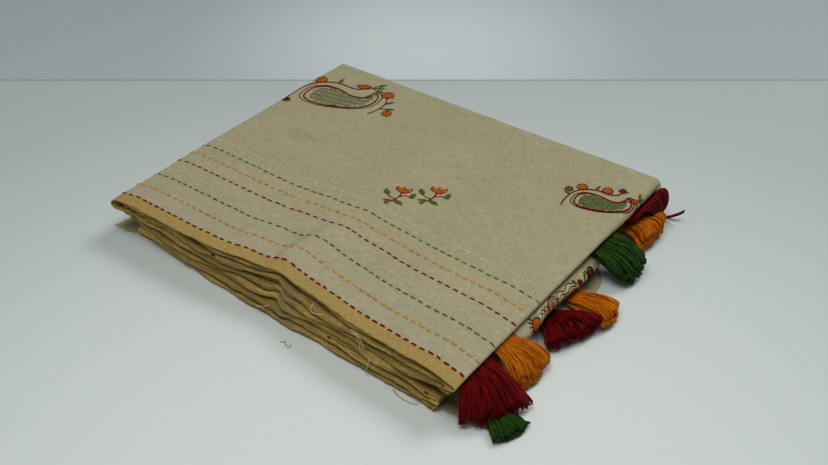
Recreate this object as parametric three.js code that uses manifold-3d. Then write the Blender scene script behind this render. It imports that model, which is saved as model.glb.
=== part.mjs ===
// A folded saree lying on a surface: one long cloth folded in sixteen along its length and in four
// across, with gold selvedge layers along the front and tassels at the pallu's end on the right.
// Millimetres, +X along the saree's length towards the tassels, +Y towards the back fold, +Z up.
// The origin is on the underside, below the middle of the stack.
import * as THREE from "three";
import { mergeVertices } from "three/addons/utils/BufferGeometryUtils.js";
import Module from "manifold-3d";

const wasm = await Module();
wasm.setup();

// Driving sizes
const FOLDED_LENGTH = 332;
const FOLDED_WIDTH = 286;
const STACK_HEIGHT = 38;
const CLOTH = 1.4;
const SEAM = 0.3;
const LEFT_END = -FOLDED_LENGTH / 2;
const RIGHT_END = FOLDED_LENGTH / 2;
const BACK_FOLD = FOLDED_WIDTH / 2;
const LEFT_LOOP = 4.6; // radius of the outermost fold at the left end
const SHARP_FOLD = 2.2; // radius of the pressed fold at the right end, near the front
const SOFT_FOLD = 5.4; // radius of the same fold at the back, where it opens
const BACK_ROUND = 4; // radius of the top cloth where it turns down at the back
const LEFT_LEG = 12; // how far the top cloth runs back under its fold at the left end
const LEG_SAG = 1.2; // how much that stretch closes the fold's opening
const RIGHT_LEG = 6; // how far it runs back under its fold at the right end
const LEVELS = 6; // layers that show along the front, below the top cloth
const STRIP_ROOT = -114; // where the selvedge strips leave the hidden layers
const STRIP_FLOOR = 0.2; // how far the lowest strip stays above the table

const COLOURS = {
  cloth: 0xa8a288,
  shade: 0x98917a,
  gold: 0xa58a4a,
  crimson: 0x7c1020,
  orange: 0xc87214,
  green: 0x2f5a1c,
};

// Small helpers
const lerp = THREE.MathUtils.lerp;
const ease = (from, to, v) => THREE.MathUtils.smoothstep(v, from, to);
const bump = (v, centre, width) => Math.exp(-(((v - centre) / width) ** 2));
const point = (x, y, z) => new THREE.Vector3(x, y, z);
const uneven = (i) => Math.sin(i * 12.9898 + 4.1); // a repeatable value from -1 to 1

// Where the front edges lie, from left to right. The top one is drawn back near the crease, and
// the lowest one stands out further towards the right.
const TOP_EDGE = edgeCurve([
  { x: -171, y: -138.4 },
  { x: -150, y: -134.4 },
  { x: -118, y: -134.6 },
  { x: -84, y: -134.6 },
  { x: -52, y: -133 },
  { x: -30, y: -129.6 },
  { x: -9, y: -128 },
  { x: 3, y: -125.8 },
  { x: 13, y: -126.6 },
  { x: 26, y: -129.4 },
  { x: 46, y: -131.8 },
  { x: 72, y: -135.8 },
  { x: 115, y: -139 },
  { x: 142, y: -140.2 },
  { x: 167, y: -144.6 },
]);
const LOW_EDGE = edgeCurve([
  { x: -165, y: -123.5 },
  { x: -125, y: -127.5 },
  { x: -86, y: -131 },
  { x: -48, y: -133.5 },
  { x: -10, y: -135.2 },
  { x: 16, y: -136.8 },
  { x: 60, y: -136.6 },
  { x: 110, y: -138.2 },
  { x: 152, y: -139.6 },
]);

function edgeCurve(table) {
  const curve = new THREE.SplineCurve(table.map(({ x, y }) => new THREE.Vector2(x, y)));
  return curve.getPoints(120);
}

function edgeAt(samples, x) {
  const clamped = THREE.MathUtils.clamp(x, samples[0].x, samples[samples.length - 1].x);
  const i = Math.max(1, samples.findIndex((p) => p.x >= clamped));
  const [a, b] = [samples[i - 1], samples[i]];
  return lerp(a.y, b.y, (clamped - a.x) / (b.x - a.x));
}

// Height of the stack's top at a place: nearly level, with one soft crease over the front edge.
const CREASE = { ridge: 2.4, ridgeX: -3, dip: 1.7, dipX: 15, width: 8, lean: 0.1, fadesAt: -70 };

function stackTop(x, y) {
  const nearEdge = 1 - ease(-140, CREASE.fadesAt, y);
  const along = x + CREASE.lean * (y - TOP_EDGE[0].y);
  const crease =
    CREASE.ridge * bump(along, CREASE.ridgeX, CREASE.width) -
    CREASE.dip * bump(along, CREASE.dipX, CREASE.width);
  const ripple = 0.45 * Math.sin(x / 41 + y / 90) * Math.cos(y / 52 + 0.6);
  const frontSag = -0.9 * (1 - ease(-143, -126, y));
  return STACK_HEIGHT - 0.5 + crease * nearEdge + ripple + frontSag;
}

// Closed solids from rings of points. A cap is a fan on a round ring and a strip on a wall's ring.
function loft(rings, cap) {
  const n = rings[0].length;
  const positions = rings.flat().flatMap((p) => [p.x, p.y, p.z]);
  const index = [];
  for (let r = 0; r + 1 < rings.length; r += 1) {
    for (let i = 0; i < n; i += 1) {
      const a = r * n + i;
      const b = r * n + ((i + 1) % n);
      index.push(a, b, b + n, a, b + n, a + n);
    }
  }
  const last = (rings.length - 1) * n;
  if (cap === "wall") {
    for (let i = 0; i + 1 < n / 2; i += 1) {
      const [a, b, c, d] = [i, i + 1, n - 2 - i, n - 1 - i];
      index.push(a, c, b, a, d, c);
      index.push(last + a, last + b, last + c, last + a, last + c, last + d);
    }
  } else {
    for (let i = 1; i + 1 < n; i += 1) {
      index.push(0, i + 1, i, last, last + i, last + i + 1);
    }
  }
  const geometry = new THREE.BufferGeometry();
  geometry.setAttribute("position", new THREE.Float32BufferAttribute(positions, 3));
  geometry.setIndex(index);
  return facingOut(geometry);
}

function facingOut(geometry) {
  const at = geometry.attributes.position;
  const index = geometry.index.array;
  const corner = (i) => new THREE.Vector3().fromBufferAttribute(at, index[i]);
  let volume = 0;
  for (let i = 0; i < index.length; i += 3) {
    volume += corner(i).dot(corner(i + 1).cross(corner(i + 2)));
  }
  if (volume < 0) {
    for (let i = 0; i < index.length; i += 3) {
      [index[i + 1], index[i + 2]] = [index[i + 2], index[i + 1]];
    }
  }
  return geometry;
}

// A wall of cloth: rows of points on its outer face, with the inner face a cloth's thickness below.
function clothWall(rows, thickness = CLOTH) {
  const across = (list, i) => {
    const before = list[Math.max(0, i - 1)];
    const after = list[Math.min(list.length - 1, i + 1)];
    return new THREE.Vector3().subVectors(after, before);
  };
  const rings = rows.map((row, r) => {
    const inner = row.map((p, i) => {
      const column = rows.map((other) => other[i]);
      const normal = across(row, i).cross(across(column, r)).normalize();
      return p.clone().addScaledVector(normal, -thickness);
    });
    return [...row, ...inner.reverse()];
  });
  return loft(rings, "wall");
}

function unite(geometries) {
  const solids = geometries.map((geometry) => {
    const { position } = geometry.attributes;
    return new wasm.Manifold(
      new wasm.Mesh({
        numProp: 3,
        vertProperties: new Float32Array(position.array),
        triVerts: new Uint32Array(geometry.index.array),
      }),
    );
  });
  const joined = solids.reduce((a, b) => a.add(b)).getMesh();
  const geometry = new THREE.BufferGeometry();
  geometry.setAttribute("position", new THREE.Float32BufferAttribute(joined.vertProperties, 3));
  geometry.setIndex([...joined.triVerts]);
  return geometry;
}

const saree = new THREE.Group();
saree.name = "folded_saree";

function addPiece(name, colour, geometry) {
  const material = new THREE.MeshStandardMaterial({ color: colour, roughness: 0.9, metalness: 0 });
  const mesh = new THREE.Mesh(geometry, material);
  mesh.name = name;
  saree.add(mesh);
}

// Top cloth: it loops under at the left end, lies over the stack, folds under at the right end
// and turns down at the back. Its front edge is the free gold selvedge.
function topCloth() {
  const rightRadius = (y) => lerp(SHARP_FOLD, SOFT_FOLD, ease(20, 95, y));
  const flats = [-154, -140, -122, -102, -80, -60, -44, -30, -22, -14, -6, 2, 10, 18, 30, 46, 64];
  const rightFlats = [84, 104, 124, 142];
  const arcs = [1, 0.8, 0.6, 0.4, 0.2];
  const section = (place, drop) => {
    const row = [];
    const height = (x) => stackTop(x, place(x)) - drop;
    const left = LEFT_LOOP - drop / 2;
    const leftTop = height(LEFT_END + left);
    const rightY = place(RIGHT_END);
    const right = rightRadius(rightY) - drop / 2;
    const rightTop = height(RIGHT_END - right);
    const legEnd = LEFT_END + left + LEFT_LEG;
    row.push(point(legEnd, place(legEnd), leftTop - 2 * left + LEG_SAG));
    for (const a of arcs) {
      const x = LEFT_END + left - left * Math.sin(a * Math.PI);
      row.push(point(x, place(x), leftTop - left - left * Math.cos(Math.PI - a * Math.PI)));
    }
    for (const x of [LEFT_END + left, ...flats, ...rightFlats, RIGHT_END - right]) {
      row.push(point(x, place(x), height(x)));
    }
    for (const a of [...arcs].reverse()) {
      const x = RIGHT_END - right + right * Math.sin(a * Math.PI);
      row.push(point(x, rightY, rightTop - right + right * Math.cos(a * Math.PI)));
    }
    row.push(point(RIGHT_END - right - RIGHT_LEG, rightY, rightTop - 2 * right));
    return row;
  };
  const inwards = [0, 0.02, 0.05, 0.09, 0.14, 0.2, 0.3, 0.42, 0.56, 0.7, 0.82, 0.91, 0.96, 1];
  const backStart = BACK_FOLD - BACK_ROUND;
  const rows = inwards.map((v) => section((x) => lerp(edgeAt(TOP_EDGE, x), backStart, v), 0));
  for (const turn of [35, 65, 90].map(THREE.MathUtils.degToRad)) {
    const y = backStart + BACK_ROUND * Math.sin(turn);
    rows.push(section(() => y, BACK_ROUND * (1 - Math.cos(turn))));
  }
  return clothWall(rows);
}

// Hidden layers: one solid whose sides are rounded like the edges of the folds it stands for.
function hiddenLayers() {
  const floor = CLOTH + 2 * SEAM;
  const corner = 12; // how far each corner is cut back
  const perSide = 15; // points along each side
  const steps = 3; // rings in each layer's rounded edge
  const foldDepth = 2.6; // how deep the grooves between the layers are
  const inFromLeft = { onTable: 24, upper: 3, underLoop: 15 };
  const inFromRight = { mean: 15, wave: 2.5 };
  const inFromBack = { mean: 1.5, wave: 2 };
  // Each outline runs round the stack; t is the level, from 0 at the floor to 1 at the top.
  const outline = (t, groove) => {
    const front = STRIP_ROOT + 2 * SEAM;
    const slope = lerp(inFromLeft.onTable, inFromLeft.upper, ease(0, 0.6, t));
    const left = LEFT_END + slope + inFromLeft.underLoop * ease(0.68, 0.72, t);
    const right = RIGHT_END - inFromRight.mean - inFromRight.wave * Math.sin(t * 9);
    const fullBack = BACK_FOLD - inFromBack.mean - inFromBack.wave * Math.sin(t * 7 + 1);
    const back = fullBack - BACK_ROUND * ease(0.86, 0.9, t);
    const list = [];
    const run = (from, to) => {
      for (let i = 0; i < perSide; i += 1) {
        list.push([lerp(from[0], to[0], i / perSide), lerp(from[1], to[1], i / perSide)]);
      }
    };
    run([left + corner, front], [right - corner, front]);
    run([right, front + corner], [right, back - corner]);
    run([right - corner, back], [left + corner, back]);
    run([left, back - corner], [left, front + corner]);
    return list.map(([x, y], i) => {
      const wave = 0.9 * Math.sin(i * 0.9 + Math.floor(t * LEVELS) * 2.3);
      const inset = (groove * foldDepth + wave) * (y > front + 1 ? 1 : 0);
      const sideways = x <= left + 0.01 ? 1 : x >= right - 0.01 ? -1 : 0;
      const lengthways = y >= back - 0.01 ? -1 : 0;
      return [x + sideways * inset, y + lengthways * inset];
    });
  };
  const lift = (x, y, t) => lerp(floor, stackTop(x, y) - CLOTH - 2 * SEAM, t);
  const rings = [];
  for (let layer = 0; layer < LEVELS; layer += 1) {
    for (let s = 0; s < steps; s += 1) {
      const across = (s + 0.12) / (steps - 0.76);
      const t = THREE.MathUtils.clamp((layer + across) / LEVELS, 0, 1);
      const groove = 1 - Math.sqrt(1 - (2 * across - 1) ** 2 * 0.98);
      rings.push(outline(t, groove).map(([x, y]) => point(x, y, lift(x, y, t))));
    }
  }
  const shrink = (ring, share, t) =>
    ring.map((p) => point(p.x * share, p.y * share, lift(p.x * share, p.y * share, t)));
  const top = rings[rings.length - 1];
  rings.push(shrink(top, 0.85, 1), shrink(top, 0.6, 1), shrink(top, 0.3, 1), shrink(top, 0.01, 1));
  rings.unshift(shrink(rings[0], 0.5, 0));
  return loft(rings, "fan");
}

// Selvedge strips: the gold edges of the layers below, which fan out and droop along the front.
const SELVEDGES = [
  { name: "selvedge_1", startX: -157, endX: 157, droop: 2.4, sway: 0.9, phase: 0.4 },
  { name: "selvedge_2", startX: -147, endX: 156, droop: 3.2, sway: 1.1, phase: 1.9 },
  { name: "selvedge_3", startX: -164, endX: 155, droop: 3.4, sway: 1.2, phase: 3.1 },
  { name: "selvedge_4", startX: -161, endX: 150, droop: 3.2, sway: 1.1, phase: 4.6 },
  { name: "selvedge_5", startX: -151, endX: 149, droop: 3.4, sway: 0.9, phase: 5.5 },
  { name: "selvedge_6", startX: -136, endX: 147, droop: 2.6, sway: 0.6, phase: 0.9 },
];
// The middle strips are drawn in below the crease, and near the right end the strips part in two
// groups with a gap between them.
const PINCH = { depth: 3.5, x: -1, width: 7 };
const SPLIT = { upper: 0.5, lower: 1.6, fromX: 95, toX: 150 };

function selvedge({ startX, endX, droop, sway, phase }, place) {
  const stations = 24;
  const ripple = 0.6;
  const level = (LEVELS - place - 0.35) / LEVELS;
  const rows = [];
  for (let i = 0; i <= stations; i += 1) {
    const x = lerp(startX, endX, i / stations);
    const pinch = PINCH.depth * bump(x, PINCH.x, PINCH.width) * ease(0, 2, place) * (1 - ease(3, 5, place));
    const edge =
      lerp(edgeAt(TOP_EDGE, x), edgeAt(LOW_EDGE, x), (place + 1) / LEVELS) +
      sway * Math.sin(x / 17 + phase) + ripple * Math.sin(x / 7 + 2 * phase) + pinch;
    const split = (place > 2 ? -SPLIT.lower : SPLIT.upper) * ease(SPLIT.fromX, SPLIT.toX, x);
    const row = [];
    for (const v of [0, 0.35, 0.7, 1]) {
      const y = lerp(STRIP_ROOT, edge, v);
      const base = level * stackTop(x, y) + 0.7 * Math.sin(x / 23 + phase) * v;
      row.push(point(x, y, Math.max(base + split * v - droop * v ** 2, CLOTH + STRIP_FLOOR)));
    }
    rows.push(row);
  }
  return clothWall(rows);
}

// Bottom stretch: the cloth that lies flat on the table and shows past both front corners.
function bottomCloth() {
  const corners = { left: -181, right: 184, backLeft: -162, backRight: 156, back: 136 };
  const hem = { hidden: -120, left: 13, right: 16 }; // its front edge, and how far the ends stand out
  const across = [0, 0.04, 0.08, 0.12, 0.3, 0.5, 0.7, 0.86, 0.905, 0.925, 0.95, 0.975, 1];
  const rows = [0, 0.08, 0.2, 0.4, 0.7, 1].map((v) => {
    const left = lerp(corners.left, corners.backLeft, v);
    const right = lerp(corners.right, corners.backRight, Math.min(1, v * 5));
    return across.map((u) => {
      const showsLeft = 1 - ease(0.04, 0.12, u);
      const showsRight = ease(0.905, 0.925, u);
      const front = hem.hidden - hem.left * showsLeft - hem.right * showsRight;
      return point(lerp(left, right, u), lerp(front, corners.back, v), CLOTH);
    });
  });
  return clothWall(rows);
}

// Pallu: the embroidered end of the cloth, folded over so that its rounded fold shows at the right.
function palluFold() {
  const stations = 14;
  const legEnd = RIGHT_END - 11.5;
  const half = 7.5; // half the height of the fold
  const span = { from: -72, to: 53 };
  const height = { front: 21, back: 14.5 };
  const rows = [];
  for (let i = 0; i <= stations; i += 1) {
    const s = i / stations;
    const y = lerp(span.from, span.to, s);
    const nose = RIGHT_END + 2.2 + 4 * bump(y, -64, 20) + 7 * bump(y, 29, 14);
    const middle = lerp(height.front, height.back, ease(0.2, 0.9, s)) + 0.4 * Math.sin(y / 6);
    const row = [point(legEnd, y, middle + half - 0.4)];
    for (const turn of [90, 60, 30, 0, -30, -60, -90].map(THREE.MathUtils.degToRad)) {
      row.push(point(nose - half + half * Math.cos(turn), y, middle + half * Math.sin(turn)));
    }
    row.push(point(legEnd, y, middle - half + 0.4));
    rows.push(row);
  }
  return clothWall(rows);
}

// Tassels: each is a head tied to the pallu's end with strands that fan out and fall to the table.
// a and b are the ends of the line that the tips lie on, from the front to the back; that line
// bows out by bow and is raised by hump in its middle.
const TASSELS = [
  {
    name: "tassel_crimson_front", colour: "crimson", rows: 3, rootX: 160, rootY: -113, rootZ: 30.3,
    half: 11, ax: 170, ay: -139, az: 5.4, bx: 197, by: -104, bz: 5, bow: 8, hump: 6.4,
    out: 14, rise: 1, fall: 13,
  },
  {
    name: "tassel_orange_front", colour: "orange", rows: 3, rootX: 160, rootY: -88, rootZ: 30.4,
    half: 6.5, ax: 187.5, ay: -92, az: 5, bx: 186, by: -56, bz: 5, bow: 4, hump: 0,
    out: 18, rise: 1.5, fall: 12,
  },
  {
    name: "tassel_green_low", colour: "green", rows: 2, rootX: 174, rootY: -121, rootZ: 4.6,
    half: 5, ax: 197, ay: -139, az: 3.4, bx: 204, by: -117, bz: 3.4, bow: 2, hump: 0,
    out: 8, rise: 0.4, fall: 0.2,
  },
  {
    name: "tassel_crimson_middle", colour: "crimson", rows: 3, rootX: 158, rootY: -23, rootZ: 4.1,
    half: 8, ax: 178, ay: -48, az: 5, bx: 197, by: -7, bz: 5, bow: 5, hump: 0,
    out: 13, rise: 0.5, fall: 4,
  },
  {
    name: "tassel_orange_middle", colour: "orange", rows: 3, rootX: 158, rootY: 9, rootZ: 4.1,
    half: 6, ax: 199, ay: 1, az: 5, bx: 194, by: 24, bz: 5, bow: 2, hump: 0,
    out: 15, rise: 0.5, fall: 5,
  },
  {
    name: "tassel_green_back", colour: "green", rows: 3, rootX: 159, rootY: 57, rootZ: 26.8,
    half: 9, ax: 190, ay: 44, az: 5, bx: 187, by: 77, bz: 5, bow: 4, hump: 0,
    out: 20, rise: 2, fall: 16,
  },
  {
    name: "tassel_orange_back", colour: "orange", rows: 3, rootX: 155.9, rootY: 104, rootZ: 14,
    half: 7, ax: 181, ay: 92, az: 5, bx: 175, by: 134, bz: 5, bow: 4, hump: 0,
    out: 15, rise: 3, fall: 8,
  },
  {
    name: "tassel_crimson_back", colour: "crimson", rows: 3, rootX: 157, rootY: 128, rootZ: 23.9,
    half: 6, ax: 179, ay: 142, az: 7, bx: 163, by: 155, bz: 9, bow: 3, hump: 0,
    out: 15, rise: 3, fall: 12,
  },
];
const STRAND = { columns: 7, rootRadius: 0.5, thickest: 1.7, fill: 0.36, rootGap: 1.45, tipGap: 1.75 };

// One strand: three-sided, and thicker towards its tip. lift says which row of strands it is in.
function strand(curve, lift, share, tipRadius) {
  const rings = [0, 0.28, 0.62, 1].map((t) => {
    const at = t * share;
    const centre = curve.getPoint(at);
    centre.z += lift * lerp(STRAND.rootGap, STRAND.tipGap * tipRadius, at);
    const along = curve.getTangent(at);
    const side = new THREE.Vector3().crossVectors(along, point(0, 0, 1)).normalize();
    const up = new THREE.Vector3().crossVectors(side, along);
    const radius = lerp(STRAND.rootRadius, tipRadius, at);
    return [90, 210, 330].map(THREE.MathUtils.degToRad).map((turn) =>
      centre
        .clone()
        .addScaledVector(side, radius * Math.cos(turn))
        .addScaledVector(up, radius * Math.sin(turn)),
    );
  });
  return loft(rings, "fan");
}

function tassel(t) {
  const headLength = 3.2;
  const headRim = 1; // how far the head stands out round the roots of its strands
  const head = new THREE.SphereGeometry(1, 8, 5);
  head.deleteAttribute("normal");
  head.deleteAttribute("uv");
  head.scale(headLength, t.half + headRim, STRAND.rootGap + headRim);
  head.translate(t.rootX, t.rootY, t.rootZ);
  const pieces = [mergeVertices(head)];
  const a = point(t.ax, t.ay, t.az);
  const b = point(t.bx, t.by, t.bz);
  const outwards = point(b.y - a.y, a.x - b.x, 0).normalize();
  const spacing = a.distanceTo(b) / (STRAND.columns - 1);
  const tipRadius = Math.min(STRAND.thickest, STRAND.fill * spacing);
  let count = 0;
  for (let r = 0; r < t.rows; r += 1) {
    const columns = STRAND.columns - (r % 2);
    for (let c = 0; c < columns; c += 1) {
      count += 1;
      const s = (c + 0.5 * (r % 2)) / (STRAND.columns - 1);
      const middle = 4 * s * (1 - s);
      const tip = a.clone().lerp(b, s).addScaledVector(outwards, t.bow * middle);
      tip.z += t.hump * middle;
      const root = point(t.rootX, t.rootY + lerp(-0.86, 0.86, s) * t.half, t.rootZ);
      const curve = new THREE.CubicBezierCurve3(
        root,
        root.clone().add(point(t.out, (tip.y - root.y) * 0.2, t.rise)),
        tip.clone().add(point(-2, (root.y - tip.y) * 0.2, t.fall)),
        tip,
      );
      const lift = r - (t.rows - 1) / 2;
      pieces.push(strand(curve, lift, 0.96 + 0.04 * uneven(count), tipRadius));
    }
  }
  return unite(pieces);
}

addPiece("hidden_layers", COLOURS.cloth, hiddenLayers());
addPiece("top_cloth", COLOURS.cloth, topCloth());
SELVEDGES.forEach((strip, place) => addPiece(strip.name, COLOURS.gold, selvedge(strip, place)));
addPiece("bottom_cloth", COLOURS.shade, bottomCloth());
addPiece("pallu_fold", COLOURS.cloth, palluFold());
TASSELS.forEach((t) => addPiece(t.name, COLOURS[t.colour], tassel(t)));

export default saree;
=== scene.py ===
"""Looks for the folded saree: fine cloth over its solids, stitched rows, embroidery, selvedge leaves,
tassels of yarn, floor and light. Lengths in the tables are millimetres in the part's own frame; they
turn into metres only where a mesh is made."""

import math

import bpy
import numpy as np
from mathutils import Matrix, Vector


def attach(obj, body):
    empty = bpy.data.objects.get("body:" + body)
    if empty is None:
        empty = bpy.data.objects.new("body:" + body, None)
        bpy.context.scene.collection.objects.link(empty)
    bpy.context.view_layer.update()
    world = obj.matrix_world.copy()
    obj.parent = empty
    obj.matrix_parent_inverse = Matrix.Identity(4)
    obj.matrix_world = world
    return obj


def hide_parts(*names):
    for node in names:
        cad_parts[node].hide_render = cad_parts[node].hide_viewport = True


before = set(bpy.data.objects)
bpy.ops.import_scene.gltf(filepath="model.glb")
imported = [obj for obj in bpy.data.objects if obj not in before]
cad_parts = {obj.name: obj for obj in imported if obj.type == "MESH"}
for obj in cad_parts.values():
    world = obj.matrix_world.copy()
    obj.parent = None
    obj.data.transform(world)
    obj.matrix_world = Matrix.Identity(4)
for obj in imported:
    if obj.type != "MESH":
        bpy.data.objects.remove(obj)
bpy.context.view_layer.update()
rng = np.random.default_rng(41)

MM = 0.001
TURN = 2 * math.pi
RESTING = "root"

# Driving sizes, as in the part's own source
FOLDED_LENGTH = 332.0
FOLDED_WIDTH = 286.0
STACK_HEIGHT = 38.0
LEFT_END = -FOLDED_LENGTH / 2
RIGHT_END = FOLDED_LENGTH / 2
BACK_FOLD = FOLDED_WIDTH / 2
LEFT_LOOP = 4.6
SHARP_FOLD = 2.2
SOFT_FOLD = 5.4
STRIP_ROOT = -114.0
LEVELS = 6
SHOWN_CLOTH = 0.7  # thickness of the cloth as it is shown

# Front edges, from left to right, as (x, y)
TOP_EDGE = [
    (-171, -138.4), (-150, -134.4), (-118, -134.6), (-84, -134.6), (-52, -133), (-30, -129.6),
    (-9, -128), (3, -125.8), (13, -126.6), (26, -129.4), (46, -131.8), (72, -135.8),
    (115, -139), (142, -140.2), (167, -144.6),
]
LOW_EDGE = [
    (-165, -123.5), (-125, -127.5), (-86, -131), (-48, -133.5), (-10, -135.2), (16, -136.8),
    (60, -136.6), (110, -138.2), (152, -139.6),
]


# Small helpers
def lerp(a, b, t):
    return a + (b - a) * t


def ease(start, end, v):
    t = np.clip((v - start) / (end - start), 0, 1)
    return t * t * (3 - 2 * t)


def bump(v, centre, width):
    return np.exp(-(((v - centre) / width) ** 2))


def unit(v):
    return v / np.maximum(np.linalg.norm(v, axis=-1, keepdims=True), 1e-9)


def spline(points, count=120):
    """Samples of the smooth curve through the points."""
    p = np.array(points, float)
    p = np.vstack([p[:1], p, p[-1:]])
    at = np.linspace(0, len(points) - 1, count + 1)
    i = np.minimum(at.astype(int), len(points) - 2)
    t = (at - i)[:, None]
    a, b, c, d = p[i], p[i + 1], p[i + 2], p[i + 3]
    v0, v1 = (c - a) / 2, (d - b) / 2
    return (2 * b - 2 * c + v0 + v1) * t**3 + (-3 * b + 3 * c - 2 * v0 - v1) * t**2 + v0 * t + b


TOP_SAMPLES = spline(TOP_EDGE)
LOW_SAMPLES = spline(LOW_EDGE)


def top_edge(x):
    return np.interp(x, TOP_SAMPLES[:, 0], TOP_SAMPLES[:, 1])


def low_edge(x):
    return np.interp(x, LOW_SAMPLES[:, 0], LOW_SAMPLES[:, 1])


WAVE_COUNT = 7


def waves(x, y, size, seed):
    """A smooth uneven field from about -1 to 1, whose humps are about size across."""
    r = np.random.default_rng(seed)
    total = np.zeros(np.broadcast(x, y).shape)
    for _ in range(WAVE_COUNT):
        angle, phase, pitch = r.uniform(0, math.pi), r.uniform(0, 6.28), size * r.uniform(0.6, 1.6)
        total += np.sin((x * math.cos(angle) + y * math.sin(angle)) * TURN / pitch + phase)
    return total / math.sqrt(WAVE_COUNT) / 1.4


def waver(x, size, seed):
    """The same field along one line."""
    return waves(x, 0 * x, size, seed)


def window(v, rises, full, falls, gone):
    """0 up to rises, 1 from full to falls, and 0 again past gone."""
    return ease(rises, full, v) * (1 - ease(falls, gone, v))


def humps(v, table):
    """The sum of humps, each given as height, place and width."""
    return sum(height * bump(v, at, width) for height, at, width in table)


# Height of the stack's top: the solids' own surface
CREASE = {"ridge": 2.4, "ridge_x": -3, "dip": 1.7, "dip_x": 15, "width": 8, "lean": 0.1, "fades": -70}
TOP_LEVEL = STACK_HEIGHT - 0.5
EDGE_SAG = 0.9  # how far the top dips at its front edge


def stack_top(x, y):
    near = 1 - ease(-140, CREASE["fades"], y)
    along = x + CREASE["lean"] * (y - TOP_EDGE[0][1])
    ridge = CREASE["ridge"] * bump(along, CREASE["ridge_x"], CREASE["width"])
    dip = CREASE["dip"] * bump(along, CREASE["dip_x"], CREASE["width"])
    ripple = 0.45 * np.sin(x / 41 + y / 90) * np.cos(y / 52 + 0.6)
    return TOP_LEVEL + (ridge - dip) * near + ripple - EDGE_SAG * (1 - ease(-143, -126, y))


# Press creases on the top cloth, each from one place to another, with its depth and width
PRESS_CREASES = [
    ((47, -19), (73, 96), 0.42, 3.2),
    ((-20, 34), (-12, 118), 0.26, 3.0),
    ((-128, -10), (-118, 120), 0.2, 3.4),
    ((112, -60), (121, 60), 0.2, 3.0),
    ((-60, 42), (60, 34), 0.16, 3.6),
]
# The fold that the top cloth rides up over near the front edge: steep on its left, long on its right
RIDE_UP = {"height": 3.2, "x": -5.0, "y": -118, "lean": 0.04, "rise": 10.0, "run": 22.0}
RIDE_REACH = (-128, -104, -84, -46)
RIDE_HOLLOW = [(-0.9, -17, 9)]
SMALL_FOLD = [(0.5, -68, 7), (-0.4, -80, 9)]
SMALL_LEAN = 0.2
MIDDLE_HOLLOW = [(-1.5, -3, 9)]
# Swells: height, size, squeeze of y, seed
SWELLS = [(0.42, 92, 0.8, 3), (0.14, 26, 1.0, 5)]
EDGE_SWELL = (0.28, 21, 0.35, 8)
PRESS_FADE = 18  # how far a press crease fades past its ends
PRESS_FULL = 8  # how far in from them it is whole
PRESS_BEND = (1.6, 23)  # how far it swings to the sides, and over what length


def swell(x, y, height, size, squeeze, seed):
    return height * waves(x, y * squeeze, size, seed)


def top_relief(x, y):
    """What the top cloth's surface has beyond the solid's: the fold that it rides up over near the
    front edge, soft swells, and the creases where it was pressed."""
    u = x - RIDE_UP["x"] - RIDE_UP["lean"] * (y - RIDE_UP["y"])
    climb = ease(-RIDE_UP["rise"], 0, u)
    slope = np.exp(-np.maximum(u, 0) / RIDE_UP["run"])
    z = RIDE_UP["height"] * climb * slope + humps(u, RIDE_HOLLOW) + humps(x + SMALL_LEAN * y, SMALL_FOLD)
    z = z * window(y, *RIDE_REACH) + humps(x, MIDDLE_HOLLOW) * (1 - ease(-132, -112, y))
    for shape in SWELLS:
        z = z + swell(x, y, *shape)
    z = z + swell(x, y, *EDGE_SWELL) * (1 - ease(-140, -96, y))
    for (x0, y0), (x1, y1), depth, width in PRESS_CREASES:
        along = np.array([x1 - x0, y1 - y0], float)
        length = np.hypot(*along)
        along /= length
        s = (x - x0) * along[0] + (y - y0) * along[1]
        d = (x - x0) * along[1] - (y - y0) * along[0] + PRESS_BEND[0] * np.sin(s / PRESS_BEND[1])
        inside = window(s, -PRESS_FADE, PRESS_FULL, length - PRESS_FULL, length + PRESS_FADE)
        z = z + inside * depth * (bump(d, 2.2, width) - bump(d, -1.2, width))
    return z


# Meshes
def add_object(name, data):
    obj = bpy.data.objects.new(name, data)
    bpy.context.scene.collection.objects.link(obj)
    return obj


def make_piece(name, body, material, slot_name, *nodes):
    """An object from a body: points in millimetres, faces, and for each point the weave vector that its
    material reads. nodes are the solids that it replaces."""
    points, faces, weave = body
    mesh = bpy.data.meshes.new(name)
    mesh.from_pydata((np.asarray(points) * MM).tolist(), [], faces)
    layer = mesh.attributes.new("weave", "FLOAT_VECTOR", "POINT")
    layer.data.foreach_set("vector", np.asarray(weave, np.float32).ravel())
    mesh.polygons.foreach_set("use_smooth", [True] * len(mesh.polygons))
    mesh.validate()
    mesh.update()
    mesh.materials.append(material)
    obj = add_object(name, mesh)
    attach(obj, RESTING)
    if nodes:
        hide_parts(*nodes)
    return obj


def signed_volume(points, faces):
    p = np.asarray(points)
    total = 0.0
    for size in (3, 4):
        sized = np.array([f for f in faces if len(f) == size])
        for k in range(1, size - 1):
            if len(sized):
                a, b, c = p[sized[:, 0]], p[sized[:, k]], p[sized[:, k + 1]]
                total += np.einsum("ij,ij->i", a, np.cross(b, c)).sum()
    return total


def facing_out(points, faces):
    return faces if signed_volume(points, faces) > 0 else [f[::-1] for f in faces]


def grid_faces(rows, columns, start=0, close=False):
    across = np.arange(columns if close else columns - 1)
    r, c = np.meshgrid(np.arange(rows - 1), across, indexing="ij")
    a = start + r * columns + c
    b = start + r * columns + (c + 1) % columns
    return np.stack([a, b, b + columns, a + columns], -1).reshape(-1, 4)


def grid_normals(grid):
    down = np.gradient(grid, axis=0)
    across = np.gradient(grid, axis=1)
    return unit(np.cross(across, down))


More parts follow.
